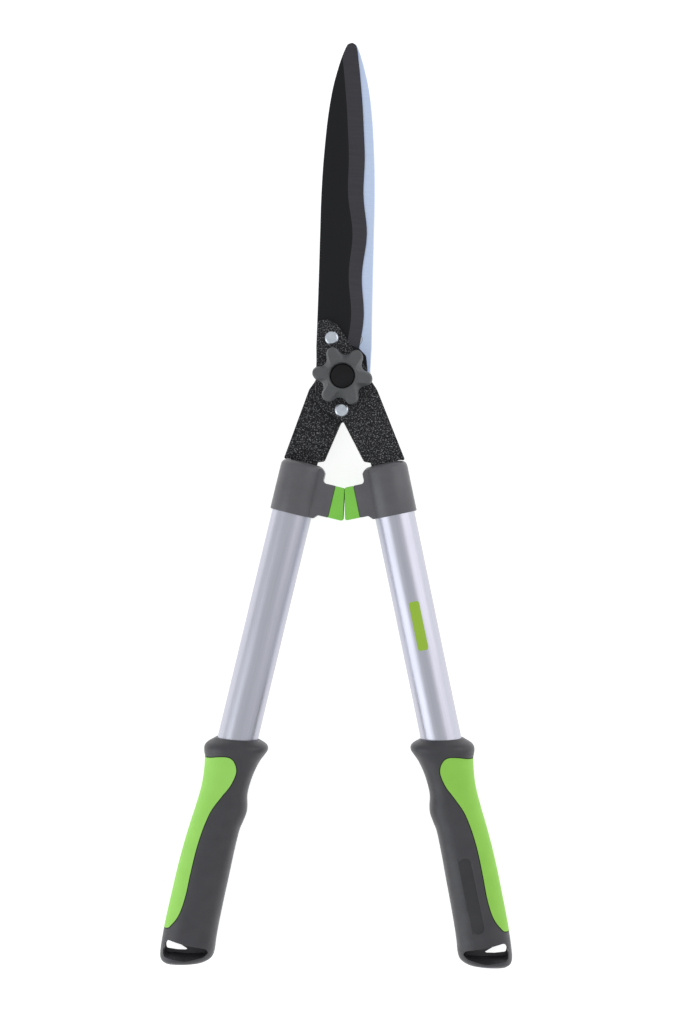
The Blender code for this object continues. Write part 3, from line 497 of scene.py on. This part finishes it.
hammered_black = hammered_paint("tang_hammered_black", 0.85 * MM)
for side, place, shift in (("front", FRONT, HANDLE_SHIFT), ("rear", REAR, -HANDLE_SHIFT)):
    add_piece(f"{side}_tang_finished", tang_mesh(shift), place, f"{side}_half", "hammered_tang",
              f"{side}_tang", hammered_black)

# --- Rivets ----------------------------------------------------------------------------------
# Two zinc-plated steel rivets hold each blade to its tang. The outer heads are pressed flat
# with a bright coned rim, and the inner ends are spread into countersinks in the blade.
RIVET_HEAD = [(4.4, 0.0), (4.5, 0.2), (4.45, 0.42), (4.2, 0.75), (3.85, 1.08), (3.6, 1.27),
              (3.42, 1.36), (3.2, 1.38), (1.4, 1.36), (0.5, 1.35)]


def turned(profile, sides=64, middle=(0, 0), crease=30.0):
    """A solid turned about Z from a profile of (radius, height) in millimetres."""
    return loft([[(x, y, height * MM) for x, y in circle(radius * MM, sides, middle)]
                 for radius, height in profile], crease)


def bright_zinc(name, size, colour_low, colour_high, roughness=(0.24, 0.38)):
    """Zinc plating: mottled where it has gone dull, with fine rubbed marks."""
    made = new_finish(name, 0.3, metallic=1.0)
    colour_from(made, grain(made, size), (0.3, colour_low), (0.7, colour_high))
    value_from(made, grain(made, 0.7 * size, detail=5.0), "Roughness", *roughness)
    relief(made, grain(made, 0.3 * MM, (1, 3, 1)), 0.008 * MM)
    return made


rivet_zinc = bright_zinc("rivet_zinc", 2.5 * MM, (0.56, 0.61, 0.68), (0.66, 0.71, 0.77))
for side, place in (("front", FRONT), ("rear", REAR)):
    for level_name, (x, y) in RIVETS.items():
        shaft = [(4.2, 0.2), (4.2, 0.3), (3.0, 1.5), (3.0, 6.75)]
        head = [(radius, 6.75 + height) for radius, height in RIVET_HEAD]
        rivet = turned([*shaft, *head], 48, (x * MM, y * MM), crease=40.0)
        add_piece(f"{side}_{level_name}_rivet_finished", rivet, place, f"{side}_half", "zinc",
                  f"{side}_{level_name}_rivet", rivet_zinc)

# --- Pivot bolt and washers ------------------------------------------------------------------
# A mushroom-headed bolt comes through from the back; its square neck keeps it from turning in
# the rear tang. A plastic thrust washer, a wave spring washer and a flat washer lie on it
# under the knob. The washers are plain rings, so their CAD nodes stay and only get a finish.
BOLT_PROFILE = [(0.6, -9.75), (3.5, -9.72), (6.0, -9.5), (7.6, -9.05), (8.6, -8.35), (9.0, -7.6),
                (9.0, -7.0), (8.8, -6.75), (4.0, -6.75), (4.0, 13.65), (3.2, 14.45)]

bolt_zinc = bright_zinc("bolt_zinc", 4 * MM, (0.40, 0.44, 0.50), (0.52, 0.56, 0.61))
bolt = carved(turned(BOLT_PROFILE, 72, crease=35.0),
              prism(rounded([(-4, -4, 0.4), (4, -4, 0.4), (4, 4, 0.4), (-4, 4, 0.4)]) * MM,
                    -7.2 * MM, -3.3 * MM), operation="UNION")
add_piece("pivot_bolt_finished", bolt, FRONT, "rear_half", "zinc", "pivot_bolt", bolt_zinc)


def refinish(node, made):
    """Gives a CAD node that stays as it is a procedural material."""
    mesh = frame["nodes"][node].data
    mesh.materials.clear()
    mesh.materials.append(made)


def moulded_plastic(name, colour_low, colour_high, roughness, specular=0.4, texture=0.5, depth=0.03):
    """Moulded plastic: an eroded mould's fine grain, with a slightly uneven tone."""
    made = new_finish(name, sum(roughness) / 2, specular=specular)
    colour_from(made, grain(made, 9 * MM), (0.3, colour_low), (0.7, colour_high))
    value_from(made, grain(made, 5 * MM), "Roughness", *roughness)
    relief(made, grain(made, texture * MM, detail=2.0), depth * MM)
    return made


black_plastic = moulded_plastic("black_plastic", (0.006, 0.006, 0.007), (0.010, 0.010, 0.012),
                                (0.45, 0.55), specular=0.3)
washer_zinc = bright_zinc("washer_zinc", 3 * MM, (0.42, 0.45, 0.50), (0.52, 0.55, 0.60))
refinish("thrust_washer", black_plastic)
refinish("wave_washer", washer_zinc)
refinish("flat_washer", washer_zinc)

# --- Knob, nut and cap -----------------------------------------------------------------------
# The six-lobed knob is moulded in grey glass-filled nylon round a thin steel nut. Each valley
# is scooped down and outwards from a raised ring, and a black cap closes the deep recess.
KNOB_TURN = math.radians(-5.5)
KNOB_LOW = 7.24
LOBE_LOW = 8.5
KNOB_FACE = 22.3
KNOB_RIM = 22.8
CAP_TOP = 16.8
LOBE_TIP = 19.3
LOBE_ROUND = 4.35
VALLEY = 13.7
VALLEY_ROUND = 4.8
SCOOP = 10.0                    # how near the axis a valley's scoop comes


def lobe_steps():
    """(turn, share) round the knob: an arc over each lobe and a hollow one through each valley."""
    lobe, valley = LOBE_TIP - LOBE_ROUND, VALLEY + VALLEY_ROUND
    valley_x, valley_y = valley * math.cos(math.pi / 6), valley * math.sin(math.pi / 6)
    lean = math.atan2(valley_y, valley_x - lobe)
    points = [(lobe + LOBE_ROUND * math.cos(a), LOBE_ROUND * math.sin(a))
              for a in np.linspace(-lean, lean, 23)]
    points += [(valley_x + VALLEY_ROUND * math.cos(a), valley_y + VALLEY_ROUND * math.sin(a))
               for a in np.linspace(math.pi + lean, 4 * math.pi / 3 - lean, 19)[1:-1]]
    return [(math.atan2(y, x) + number * math.pi / 3, (math.hypot(x, y) - VALLEY) / (LOBE_TIP - VALLEY))
            for number in range(6) for x, y in points]


LOBE_STEPS = lobe_steps()


def lobed(tip, valley, power, height, low_height=None):
    """A six-lobed ring; in its valleys it may lie lower than on its lobes."""
    ring = []
    for turn, even in LOBE_STEPS:
        share = even ** power
        radius = (valley + (tip - valley) * share) * MM
        z = height if low_height is None else low_height + (height - low_height) * share
        ring.append((radius * math.cos(turn), radius * math.sin(turn), z * MM))
    return ring


def knob_mesh():
    """The knob as one closed ring of sections, out over the lobes and back up the middle."""
    rings = [lobed(11.2, 11.2, 1, KNOB_LOW), lobed(12.8, 12.8, 1, KNOB_LOW),
             lobed(13.2, 13.2, 1, KNOB_LOW + 0.4), lobed(13.2, 13.2, 1, LOBE_LOW),
             lobed(LOBE_TIP - 1.0, VALLEY - 0.1, 1.0, LOBE_LOW + 0.02),
             lobed(LOBE_TIP - 0.3, VALLEY, 1.0, LOBE_LOW + 0.3),
             lobed(LOBE_TIP, VALLEY, 1.0, LOBE_LOW + 1.0)]
    face_tip, face_valley = LOBE_TIP - 1.3, SCOOP
    wall_tip, wall_valley = KNOB_FACE - 1.3, KNOB_FACE - 6.0
    rings.append(lobed(LOBE_TIP, VALLEY, 1.0, wall_tip, wall_valley))
    for share in (0.15, 0.35, 0.55, 0.75, 0.9, 1.0):
        power = 1.0 + share * 0.35
        tip = LOBE_TIP + (face_tip - LOBE_TIP) * (1 - math.cos(share * math.pi / 2))
        valley = VALLEY + (face_valley - VALLEY) * share
        top = wall_tip + (KNOB_FACE - wall_tip) * math.sin(share * math.pi / 2)
        low = wall_valley + (KNOB_FACE - wall_valley) * share**0.8
        rings.append(lobed(tip, valley, power, top, low))
    rings.append(lobed(face_tip - 0.8, face_valley - 0.3, 1.35, KNOB_FACE + 0.05))
    for radius, height in ((9.6, KNOB_FACE + 0.05), (9.35, KNOB_FACE + 0.3), (9.1, KNOB_RIM),
                           (8.75, KNOB_RIM), (8.45, KNOB_RIM - 0.35), (8.2, KNOB_RIM - 1.2),
                           (8.05, CAP_TOP - 0.5), (8.05, 15.2), (4.25, 15.2), (4.25, 14.3),
                           (7.7, 14.3), (7.7, 10.1), (11.2, 10.1)):
        rings.append(lobed(radius, radius, 1, height))
    return loft(rings, crease=32.0, ends=False)


knob_grey = moulded_plastic("knob_grey", (0.080, 0.084, 0.088), (0.096, 0.100, 0.104),
                            (0.42, 0.55), texture=0.45, depth=0.035)
knob_place = FRONT @ Matrix.Rotation(KNOB_TURN, 4, "Z")
add_piece("knob_finished", knob_mesh(), knob_place, "clamp_knob", "knob_plastic", "knob", knob_grey)
cap = turned([(0.4, 15.3), (7.85, 15.3), (7.9, 15.4), (7.9, 16.3), (7.7, 16.6), (7.2, 16.75),
              (6.6, 16.6), (3.0, 16.45), (0.3, 16.4)], 72)
add_piece("knob_cap_finished", cap, knob_place, "clamp_knob", "black_plastic", "knob_cap",
          black_plastic)
refinish("knob_nut", washer_zinc)

# --- Handle tubes, liners and pins -----------------------------------------------------------
# The handles are 26 mm aluminium tubes, drawn, then satin anodised. Inside the upper end a
# plastic liner and a cross pin hold the tang's neck; both are hidden and keep their CAD shape.
# The right tube carries a green pad print, here a plain rounded bar.
TUBE_RADIUS = 13.0
TUBE_WALL = 1.3
TUBE_SPAN = (59.72, 360.0)     # along the handle's axis, from level with the pivot
PRINT_MIDDLE = (0.6, 164.0)
PRINT_HALF = (3.4, 16.0)
PRINT_CORNER = 1.6
PRINT_SKIN = (-0.05, 0.03)      # from the tube's surface, in and out


def handle_place(half, offset):
    """The handle's frame: X outwards, Y towards the knob's side of its half, Z down the handle."""
    c, s = math.cos(HANDLE_ANGLE), math.sin(HANDLE_ANGLE)
    return half @ Matrix(((c, 0, s, offset * MM), (s, 0, -c, 0), (0, 1, 0, 0), (0, 0, 0, 1)))


HANDLES = {"right": (handle_place(FRONT, HANDLE_OFFSET + HANDLE_SHIFT), "front_half"),
           "left": (handle_place(REAR, HANDLE_OFFSET - HANDLE_SHIFT), "rear_half")}


def satin_tube(name):
    """Anodised aluminium: fine drawn lines along the tube and faint clouds."""
    made = new_finish(name, 0.2, metallic=1.0)
    colour_from(made, grain(made, 0.8 * MM, (1, 1, 60), detail=4.0),
                (0.3, (0.515, 0.52, 0.59)), (0.7, (0.56, 0.565, 0.635)))
    value_from(made, grain(made, 14 * MM, (1, 1, 4)), "Roughness", 0.31, 0.38)
    relief(made, grain(made, 0.25 * MM, (1, 1, 80)), 0.0035 * MM)
    return made


tube_satin = satin_tube("tube_satin")
for side, (place, body) in HANDLES.items():
    start, end = TUBE_SPAN
    inner = TUBE_RADIUS - TUBE_WALL
    tube = loft([[(x, y, z * MM) for x, y in circle(radius * MM, 96)]
                 for radius, z in ((inner, start), (TUBE_RADIUS - 0.3, start),
                                   (TUBE_RADIUS, start + 0.3), (TUBE_RADIUS, end - 0.3),
                                   (TUBE_RADIUS - 0.3, end), (inner, end))], 40.0, ends=False)
    add_piece(f"{side}_tube_finished", tube, place, body, "anodised_tube", f"{side}_tube", tube_satin)
    refinish(f"{side}_tang_liner", black_plastic)
    refinish(f"{side}_tang_pin", washer_zinc)

print_green = new_finish("pad_print_green", 0.45, specular=0.4)
colour_from(print_green, grain(print_green, 0.5 * MM, detail=4.0),
            (0.3, (0.30, 0.50, 0.035)), (0.7, (0.34, 0.55, 0.045)))
columns = []
for x in np.linspace(-1, 1, 25) * PRINT_HALF[0]:
    past = max(0.0, abs(x) - PRINT_HALF[0] + PRINT_CORNER)
    long = PRINT_HALF[1] - PRINT_CORNER + math.sqrt(PRINT_CORNER**2 - past**2)
    turn = (x + PRINT_MIDDLE[0]) / TUBE_RADIUS
    columns.append([((TUBE_RADIUS + skin) * math.sin(turn) * MM,
                     (TUBE_RADIUS + skin) * math.cos(turn) * MM,
                     (PRINT_MIDDLE[1] + end * long) * MM)
                    for skin, end in zip((*PRINT_SKIN, *PRINT_SKIN[::-1]), (-1, -1, 1, 1))])
layer = bpy.data.objects.new("right_tube_print", loft(columns))
layer.data.materials.append(print_green)
layer.matrix_world = HANDLES["right"][0]
bpy.context.scene.collection.objects.link(layer)
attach(layer, "front_half")

# --- Collars and buffer arms -----------------------------------------------------------------
# A collar is moulded in grey nylon over each tube's upper end, with a domed shoulder round the
# tang. Its short arm reaches in to the tool's middle line and carries the rubber buffer.
COLLAR_RADIUS = 14.5
COLLAR_SPAN = (57.0, 91.0)
ARM_SPAN = (67.0, 88.2)
ARM_REACH = {"right": 22.3, "left": 23.7}
ARM_HALF_DEPTH = 9.0
TUBE_SEAT = 13.12               # radius of the collar's bore
PEG_HOLE = (3.12, 6.2)          # radius and length
COLLAR_PROFILE = [(9.6, 0.0), (10.6, 0.05), (12.0, 0.45), (13.1, 1.1), (13.9, 2.0), (14.35, 3.1),
                  (14.5, 4.6)]
ARM_ROOT = [(-16.9, 88.2, 1.2), (-14.4, 90.8, 0.8), (-11.0, 90.8, 0.8), (-11.0, 58.6, 0.8),
            (-13.4, 58.6, 1.0), (-15.1, 60.6, 1.8), (-15.1, 67.0, 2.2)]


def down_handle(outline, half_depth, edge):
    """A plate on an outline of (X, Z) points in the handle's frame, level with the tool."""
    mesh = edged_plate(outline, -half_depth, half_depth, edge)
    mesh.transform(Matrix(((1, 0, 0, 0), (0, 0, 1, 0), (0, 1, 0, 0), (0, 0, 0, 1))))
    mesh.flip_normals()
    return mesh


def arm_peg(radius, length, reach):
    """A round peg that starts at reach from the handle's axis and runs back into the arm."""
    peg = prism(circle(radius * MM, 32), 0, length * MM)
    peg.transform(Matrix(((0, 0, 1, -reach * MM), (0, 1, 0, 0),
                          (-1, 0, 0, sum(ARM_SPAN) / 2 * MM), (0, 0, 0, 1))))
    return peg


def collar_mesh(reach):
    """The collar and its arm, whose end is at the given reach from the handle's axis."""
    start, end = COLLAR_SPAN
    profile = [(radius, start + drop) for radius, drop in COLLAR_PROFILE]
    profile += [(COLLAR_RADIUS + 0.05, end - 0.7), (COLLAR_RADIUS - 0.15, end - 0.2),
                (COLLAR_RADIUS - 0.5, end)]
    arm_end = [(-reach, place, 0.7) for place in ARM_SPAN]
    arm = down_handle(rounded([*ARM_ROOT, *arm_end]) * MM, ARM_HALF_DEPTH * MM, 0.6 * MM)
    body = carved(turned(profile, 96), arm, operation="UNION", crease=35.0)
    half = NECK_HALF + 0.12
    corners = ((-half, 3.05), (half, 3.05), (half, 6.85), (-half, 6.85))
    slot = prism([(x * MM, y * MM) for x, y in corners], (start - 1) * MM, end * MM)
    bore = turned([(TUBE_SEAT, start + 2.6), (TUBE_SEAT, end + 1)], 96)
    return carved(body, bore, slot, arm_peg(*PEG_HOLE, reach + 1.1), crease=35.0)


collar_grey = moulded_plastic("collar_grey", (0.100, 0.098, 0.107), (0.116, 0.114, 0.123),
                              (0.30, 0.40), texture=0.4, depth=0.012)
for side, (place, body) in HANDLES.items():
    add_piece(f"{side}_collar_finished", collar_mesh(ARM_REACH[side]), place, body, "dark_plastic",
              f"{side}_collar", collar_grey)

# --- Buffers ---------------------------------------------------------------------------------
# Two lime-green rubber wedges, each plugged into its arm by a round peg. Closed, their upper
# parts meet on the middle line and take the blow; lower down they stand a little apart.
BUFFER_GAP = 0.04               # from the line where they meet, at the top
MEETING_LINE = {"right": 0.7, "left": -0.7}     # to the right of the handles' middle line
BUFFER_OPENING = 0.65           # more than that at the foot
PEG = (3.0, 6.0)                # radius and length


def buffer_mesh(reach, meeting):
    """A wedge from the arm's end to the line where the buffers meet, with its peg."""
    c, s = math.cos(HANDLE_ANGLE), math.sin(HANDLE_ANGLE)
    low, high = ARM_SPAN[0] + 0.12, ARM_SPAN[1] - 0.12
    top = (meeting + BUFFER_GAP - HANDLE_OFFSET - low * s) / c
    foot = (meeting + BUFFER_GAP + BUFFER_OPENING - HANDLE_OFFSET - high * s) / c
    root = -reach - 0.05
    outline = rounded([(root, low, 0.6), (root, high, 0.6), (foot, high, 1.3), (top, low, 1.3)]) * MM
    wedge = down_handle(outline, (ARM_HALF_DEPTH - 0.2) * MM, 0.5 * MM)
    return carved(wedge, arm_peg(*PEG, reach + 1.0), operation="UNION", crease=40.0)


def lime_rubber(name, colour_low, colour_high):
    """Soft lime-green rubber: matt, with a fine skin and a slightly cloudy colour."""
    made = new_finish(name, 0.6, specular=0.3)
    colour_from(made, grain(made, 12 * MM, detail=4.0), (0.3, colour_low), (0.7, colour_high))
    value_from(made, grain(made, 3 * MM), "Roughness", 0.52, 0.66)
    relief(made, grain(made, 0.35 * MM, detail=2.0), 0.02 * MM)
    return made


buffer_green = lime_rubber("buffer_green", (0.21, 0.59, 0.072), (0.235, 0.63, 0.082))
for side, (place, body) in HANDLES.items():
    block = buffer_mesh(ARM_REACH[side], MEETING_LINE[side])
    add_piece(f"{side}_buffer_finished", block, place, body, "green_rubber", f"{side}_buffer",
              buffer_green)

# --- Grips -----------------------------------------------------------------------------------
# A grip is moulded in dark-grey plastic over the tube's lower end: a flared, slanted rim, a
# hollow for the finger with a bump below it, a long shallow recess on one face and a hanging
# slot, whose walls slope in from both faces to a ridge halfway through.
GRIP_START = 238.0
GRIP_STAGGER = {"right": -1.25, "left": 1.25}
GRIP_STATIONS = [
    (0.0, 14.2, 4.6, 14.2, 13.9), (1.6, 18.8, 8.4, 18.3, 16.9), (3.4, 20.5, 10.6, 19.7, 18.0),
    (5.6, 20.7, 12.8, 19.9, 18.2), (8.4, 19.6, 15.4, 19.2, 17.6), (13.0, 17.6, 18.6, 17.9, 16.6),
    (19.0, 16.0, 23.4, 17.0, 15.9), (25.0, 15.0, 28.4, 16.3, 15.5), (32.0, 14.5, 34.0, 15.8, 15.3),
    (37.5, 14.8, 38.5, 15.7, 15.3), (43.0, 16.2, 43.0, 15.8, 15.4), (48.0, 16.9, 48.0, 16.1, 15.6),
    (54.0, 16.1, 54.0, 16.5, 15.8), (61.0, 15.0, 61.0, 17.1, 15.9), (76.0, 15.0, 76.0, 18.0, 16.0),
    (92.0, 15.4, 92.0, 18.4, 16.0), (110.0, 15.8, 110.0, 18.3, 15.9),
    (124.0, 16.3, 125.0, 18.1, 15.8), (133.0, 16.9, 136.0, 17.7, 15.7),
    (140.0, 17.6, 144.5, 17.1, 15.5), (144.5, 16.8, 150.5, 16.3, 14.9),
    (148.2, 13.1, 153.8, 14.6, 13.0), (150.6, 8.1, 155.2, 11.9, 9.5)]
GRIP_SQUARENESS = 2.4
GRIP_SIDES = 120
SECTIONS_BETWEEN = 6
SLOT_FACE = [(-15.0, 139.6, 1.8), (-12.6, 137.8, 1.2), (0.4, 138.7, 8.0), (13.4, 137.9, 2.5),
             (15.5, 142.4, 3.0), (13.7, 150.6, 2.5), (-1.2, 149.2, 5.0), (-12.4, 143.8, 2.5)]
SLOT_FLOOR = [(-13.9, 141.6, 0.8), (-12.2, 141.0, 0.5), (0.4, 141.6, 8.0), (12.8, 138.7, 1.8),
              (14.6, 142.8, 2.2), (13.0, 148.4, 2.2), (-1.0, 146.0, 5.0), (-12.2, 143.2, 0.8)]
SLOT_LEAF = [(-0.4, 143.3, 0.5), (6.0, 141.1, 6.0), (12.9, 140.0, 1.5), (14.4, 142.7, 3.0),
             (13.0, 145.9, 1.5), (6.0, 145.3, 6.0), (0.8, 144.2, 0.5)]
SLOT_WEB = 0.5                  # half the thickness of the web that closes the slot's inner end
INSERT_CURVE = [(30.0, 20.7), (16.4, 17.65), (8.4, 14.75), (2.4, 13.5), (-1.6, 14.9), (-4.6, 19.0),
                (-5.45, 24.0), (-3.7, 32.0), (0.1, 40.0), (4.4, 50.0), (6.5, 60.0), (7.6, 70.0),
                (8.05, 80.0), (8.0, 94.0), (7.75, 108.0), (9.0, 120.0), (12.25, 128.0), (16.4, 132.3),
                (30.0, 134.5)]
RECESS_MIDDLE = (-1.4, 103.9)
RECESS_HALF = (4.35, 24.6)
RECESS_FLOOR = 15.15
GRIPS = {side: (place @ Matrix.Translation((0, 0, GRIP_STAGGER[side] * MM)), body)
         for side, (place, body) in HANDLES.items()}


def smooth_through(points, steps=8):
    """Points on a smooth curve through all of the given points."""
    points = np.array(points, float)
    slopes = np.gradient(points, axis=0)
    found = []
    for place in np.linspace(0, len(points) - 1, (len(points) - 1) * steps + 1):
        k = min(int(place), len(points) - 2)
        u = place - k
        found.append((2 * u**3 - 3 * u**2 + 1) * points[k] + (u**3 - 2 * u**2 + u) * slopes[k]
                     + (3 * u**2 - 2 * u**3) * points[k + 1] + (u**3 - u**2) * slopes[k + 1])
    return np.array(found)


def grip_body(under=0.0):
    """The grip's outside, or the surface a given depth under it, as a closed mesh."""
    rings = []
    for inner_z, inner, outer_z, outer, depth in smooth_through(GRIP_STATIONS, SECTIONS_BETWEEN):
        ring = []
        for turn in np.linspace(0, 2 * math.pi, GRIP_SIDES, endpoint=False):
            c, s = math.cos(turn), math.sin(turn)
            across = math.copysign(abs(c) ** (2 / GRIP_SQUARENESS), c)
            up = math.copysign(abs(s) ** (2 / GRIP_SQUARENESS), s)
            ring.append((((outer - inner) / 2 + ((outer + inner) / 2 - under) * across) * MM,
                         (depth - under) * up * MM,
                         (GRIP_START + (inner_z + outer_z) / 2
                          + (outer_z - inner_z) / 2 * across) * MM))
        rings.append(ring)
    return loft(rings, crease=40.0)


def grip_outline(corners):
    """An outline given down the grip, in the handle's frame."""
    return (rounded(corners) + (0, GRIP_START)) * MM


def insert_outline(inset=0.0):
    """The rubber's outline on the outer side of the grip, drawn in by inset."""
    points = smooth_through(INSERT_CURVE)
    ahead = np.roll(points, -1, axis=0) - np.roll(points, 1, axis=0)
    inward = np.stack([-ahead[:, 1], ahead[:, 0]], axis=1) / np.linalg.norm(ahead, axis=1)[:, None]
    around = points * np.roll(points, -1, axis=0)[:, ::-1]
    points = points + inward * np.sign((around[:, 0] - around[:, 1]).sum()) * inset
    return (points + (0, GRIP_START)) * MM


def through(layers):
    """A tool through the grip from outlines, each with its height towards the knob's side."""
    return loft([[(x, height * MM, z) for x, z in outline] for outline, height in layers])


def resampled(outline, count=160):
    """The same closed outline with evenly spaced points, starting at its first corner."""
    ends = np.vstack([outline, outline[:1]])
    along = np.concatenate([[0], np.cumsum(np.linalg.norm(np.diff(ends, axis=0), axis=1))])
    places = np.linspace(0, along[-1], count, endpoint=False)
    return np.stack([np.interp(places, along, ends[:, axis]) for axis in (0, 1)], axis=1)


def grip_mesh():
    """The grip with its pocket, bore, hanging slot and recess cut out of the whole body."""
    end = TUBE_SPAN[1] + 1.4
    bore = turned([(13.15, GRIP_START - 2), (13.15, end)], 96)
    face = resampled(grip_outline(SLOT_FACE))
    floor = resampled(grip_outline(SLOT_FLOOR))
    wide = face + (face - floor) * 0.35
    slots = [through([(wide, side * 21), (face, side * 14.5), (floor, side * SLOT_WEB)])
             for side in (-1, 1)]
    leaf = grip_outline(SLOT_LEAF)
    slots.append(through([(leaf, -3), (leaf, 3)]))
    turns = np.linspace(0, 2 * math.pi, 64, endpoint=False) + math.pi / 64
    straight = RECESS_HALF[1] - RECESS_HALF[0]
    recess = []
    for share, height in ((0.93, RECESS_FLOOR), (1.0, RECESS_FLOOR + 0.25), (1.0, 15.65), (1.09, 16.05),
                          (1.09, 20)):
        recess.append([((RECESS_MIDDLE[0] + RECESS_HALF[0] * share * math.cos(turn)) * MM, height * MM,
                        (GRIP_START + RECESS_MIDDLE[1] + math.copysign(straight, math.sin(turn))
                         + RECESS_HALF[0] * share * math.sin(turn)) * MM) for turn in turns])
    pocket = carved(through([(insert_outline(), -30), (insert_outline(), 30)]), grip_body(1.4))
    mesh = carved(grip_body(), pocket, bore, *slots, loft(recess), crease=38.0)
    mesh.materials.append(grip_grey)
    mesh.materials.append(recess_floor_painted_shade)
    middle_x, middle_z = RECESS_MIDDLE[0], GRIP_START + RECESS_MIDDLE[1]
    # Faces on the recess floor take the darker grey: painted shade for the hollow.
    for face in mesh.polygons:
        x, height, z = face.center / MM
        inside = abs(x - middle_x) < RECESS_HALF[0] and abs(z - middle_z) < RECESS_HALF[1]
        face.material_index = int(inside and abs(height - RECESS_FLOOR) < 0.2 and face.normal.y > 0.5)
    return mesh


grip_grey = moulded_plastic("grip_grey", (0.046, 0.045, 0.051), (0.055, 0.054, 0.060),
                            (0.36, 0.48), texture=0.5, depth=0.02)
# Painted shade: the recess floor is a darker grey than the grip, for the shade in the hollow.
recess_floor_painted_shade = moulded_plastic("recess_floor_painted_shade", (0.030, 0.030, 0.033), (0.036, 0.036, 0.039),
                              (0.42, 0.5), texture=0.4, depth=0.012)
for side, (place, body) in GRIPS.items():
    add_piece(f"{side}_grip_finished", grip_mesh(), place, body, "dark_plastic", f"{side}_grip")

# --- Grip inserts ----------------------------------------------------------------------------
# The outer side of each grip is overmoulded in lime-green rubber, in a pocket of the grey
# plastic. The skin stands a hair proud and a fine dark groove runs all round it. The two skins
# are lit and shaded copies of one rubber: the right one is painted a shade deeper, as painted
# shade, and the left one lighter, as painted light from the left softbox.
GROOVE = 0.55


def insert_mesh():
    """The rubber skin: its rim steps down to the grey plastic and leaves the groove open."""
    window = through([(insert_outline(GROOVE), side * 30) for side in (-1, 1)])
    skin = carved(grip_body(-0.1), window, operation="INTERSECT")
    return carved(skin, grip_body(1.28), crease=38.0)


# Painted light and shade: the left skin is painted lighter and the right one darker, for how the
# softboxes fall on them.
insert_greens_lit_and_shaded = {
    "right": lime_rubber("right_insert_green_painted_shade", (0.276, 0.60, 0.082), (0.30, 0.64, 0.092)),
    "left": lime_rubber("left_insert_green_painted_light", (0.318, 0.68, 0.116), (0.345, 0.72, 0.130))}
for side, (place, body) in GRIPS.items():
    add_piece(f"{side}_grip_insert_finished", insert_mesh(), place, body, "green_rubber",
              f"{side}_grip_insert", insert_greens_lit_and_shaded[side])
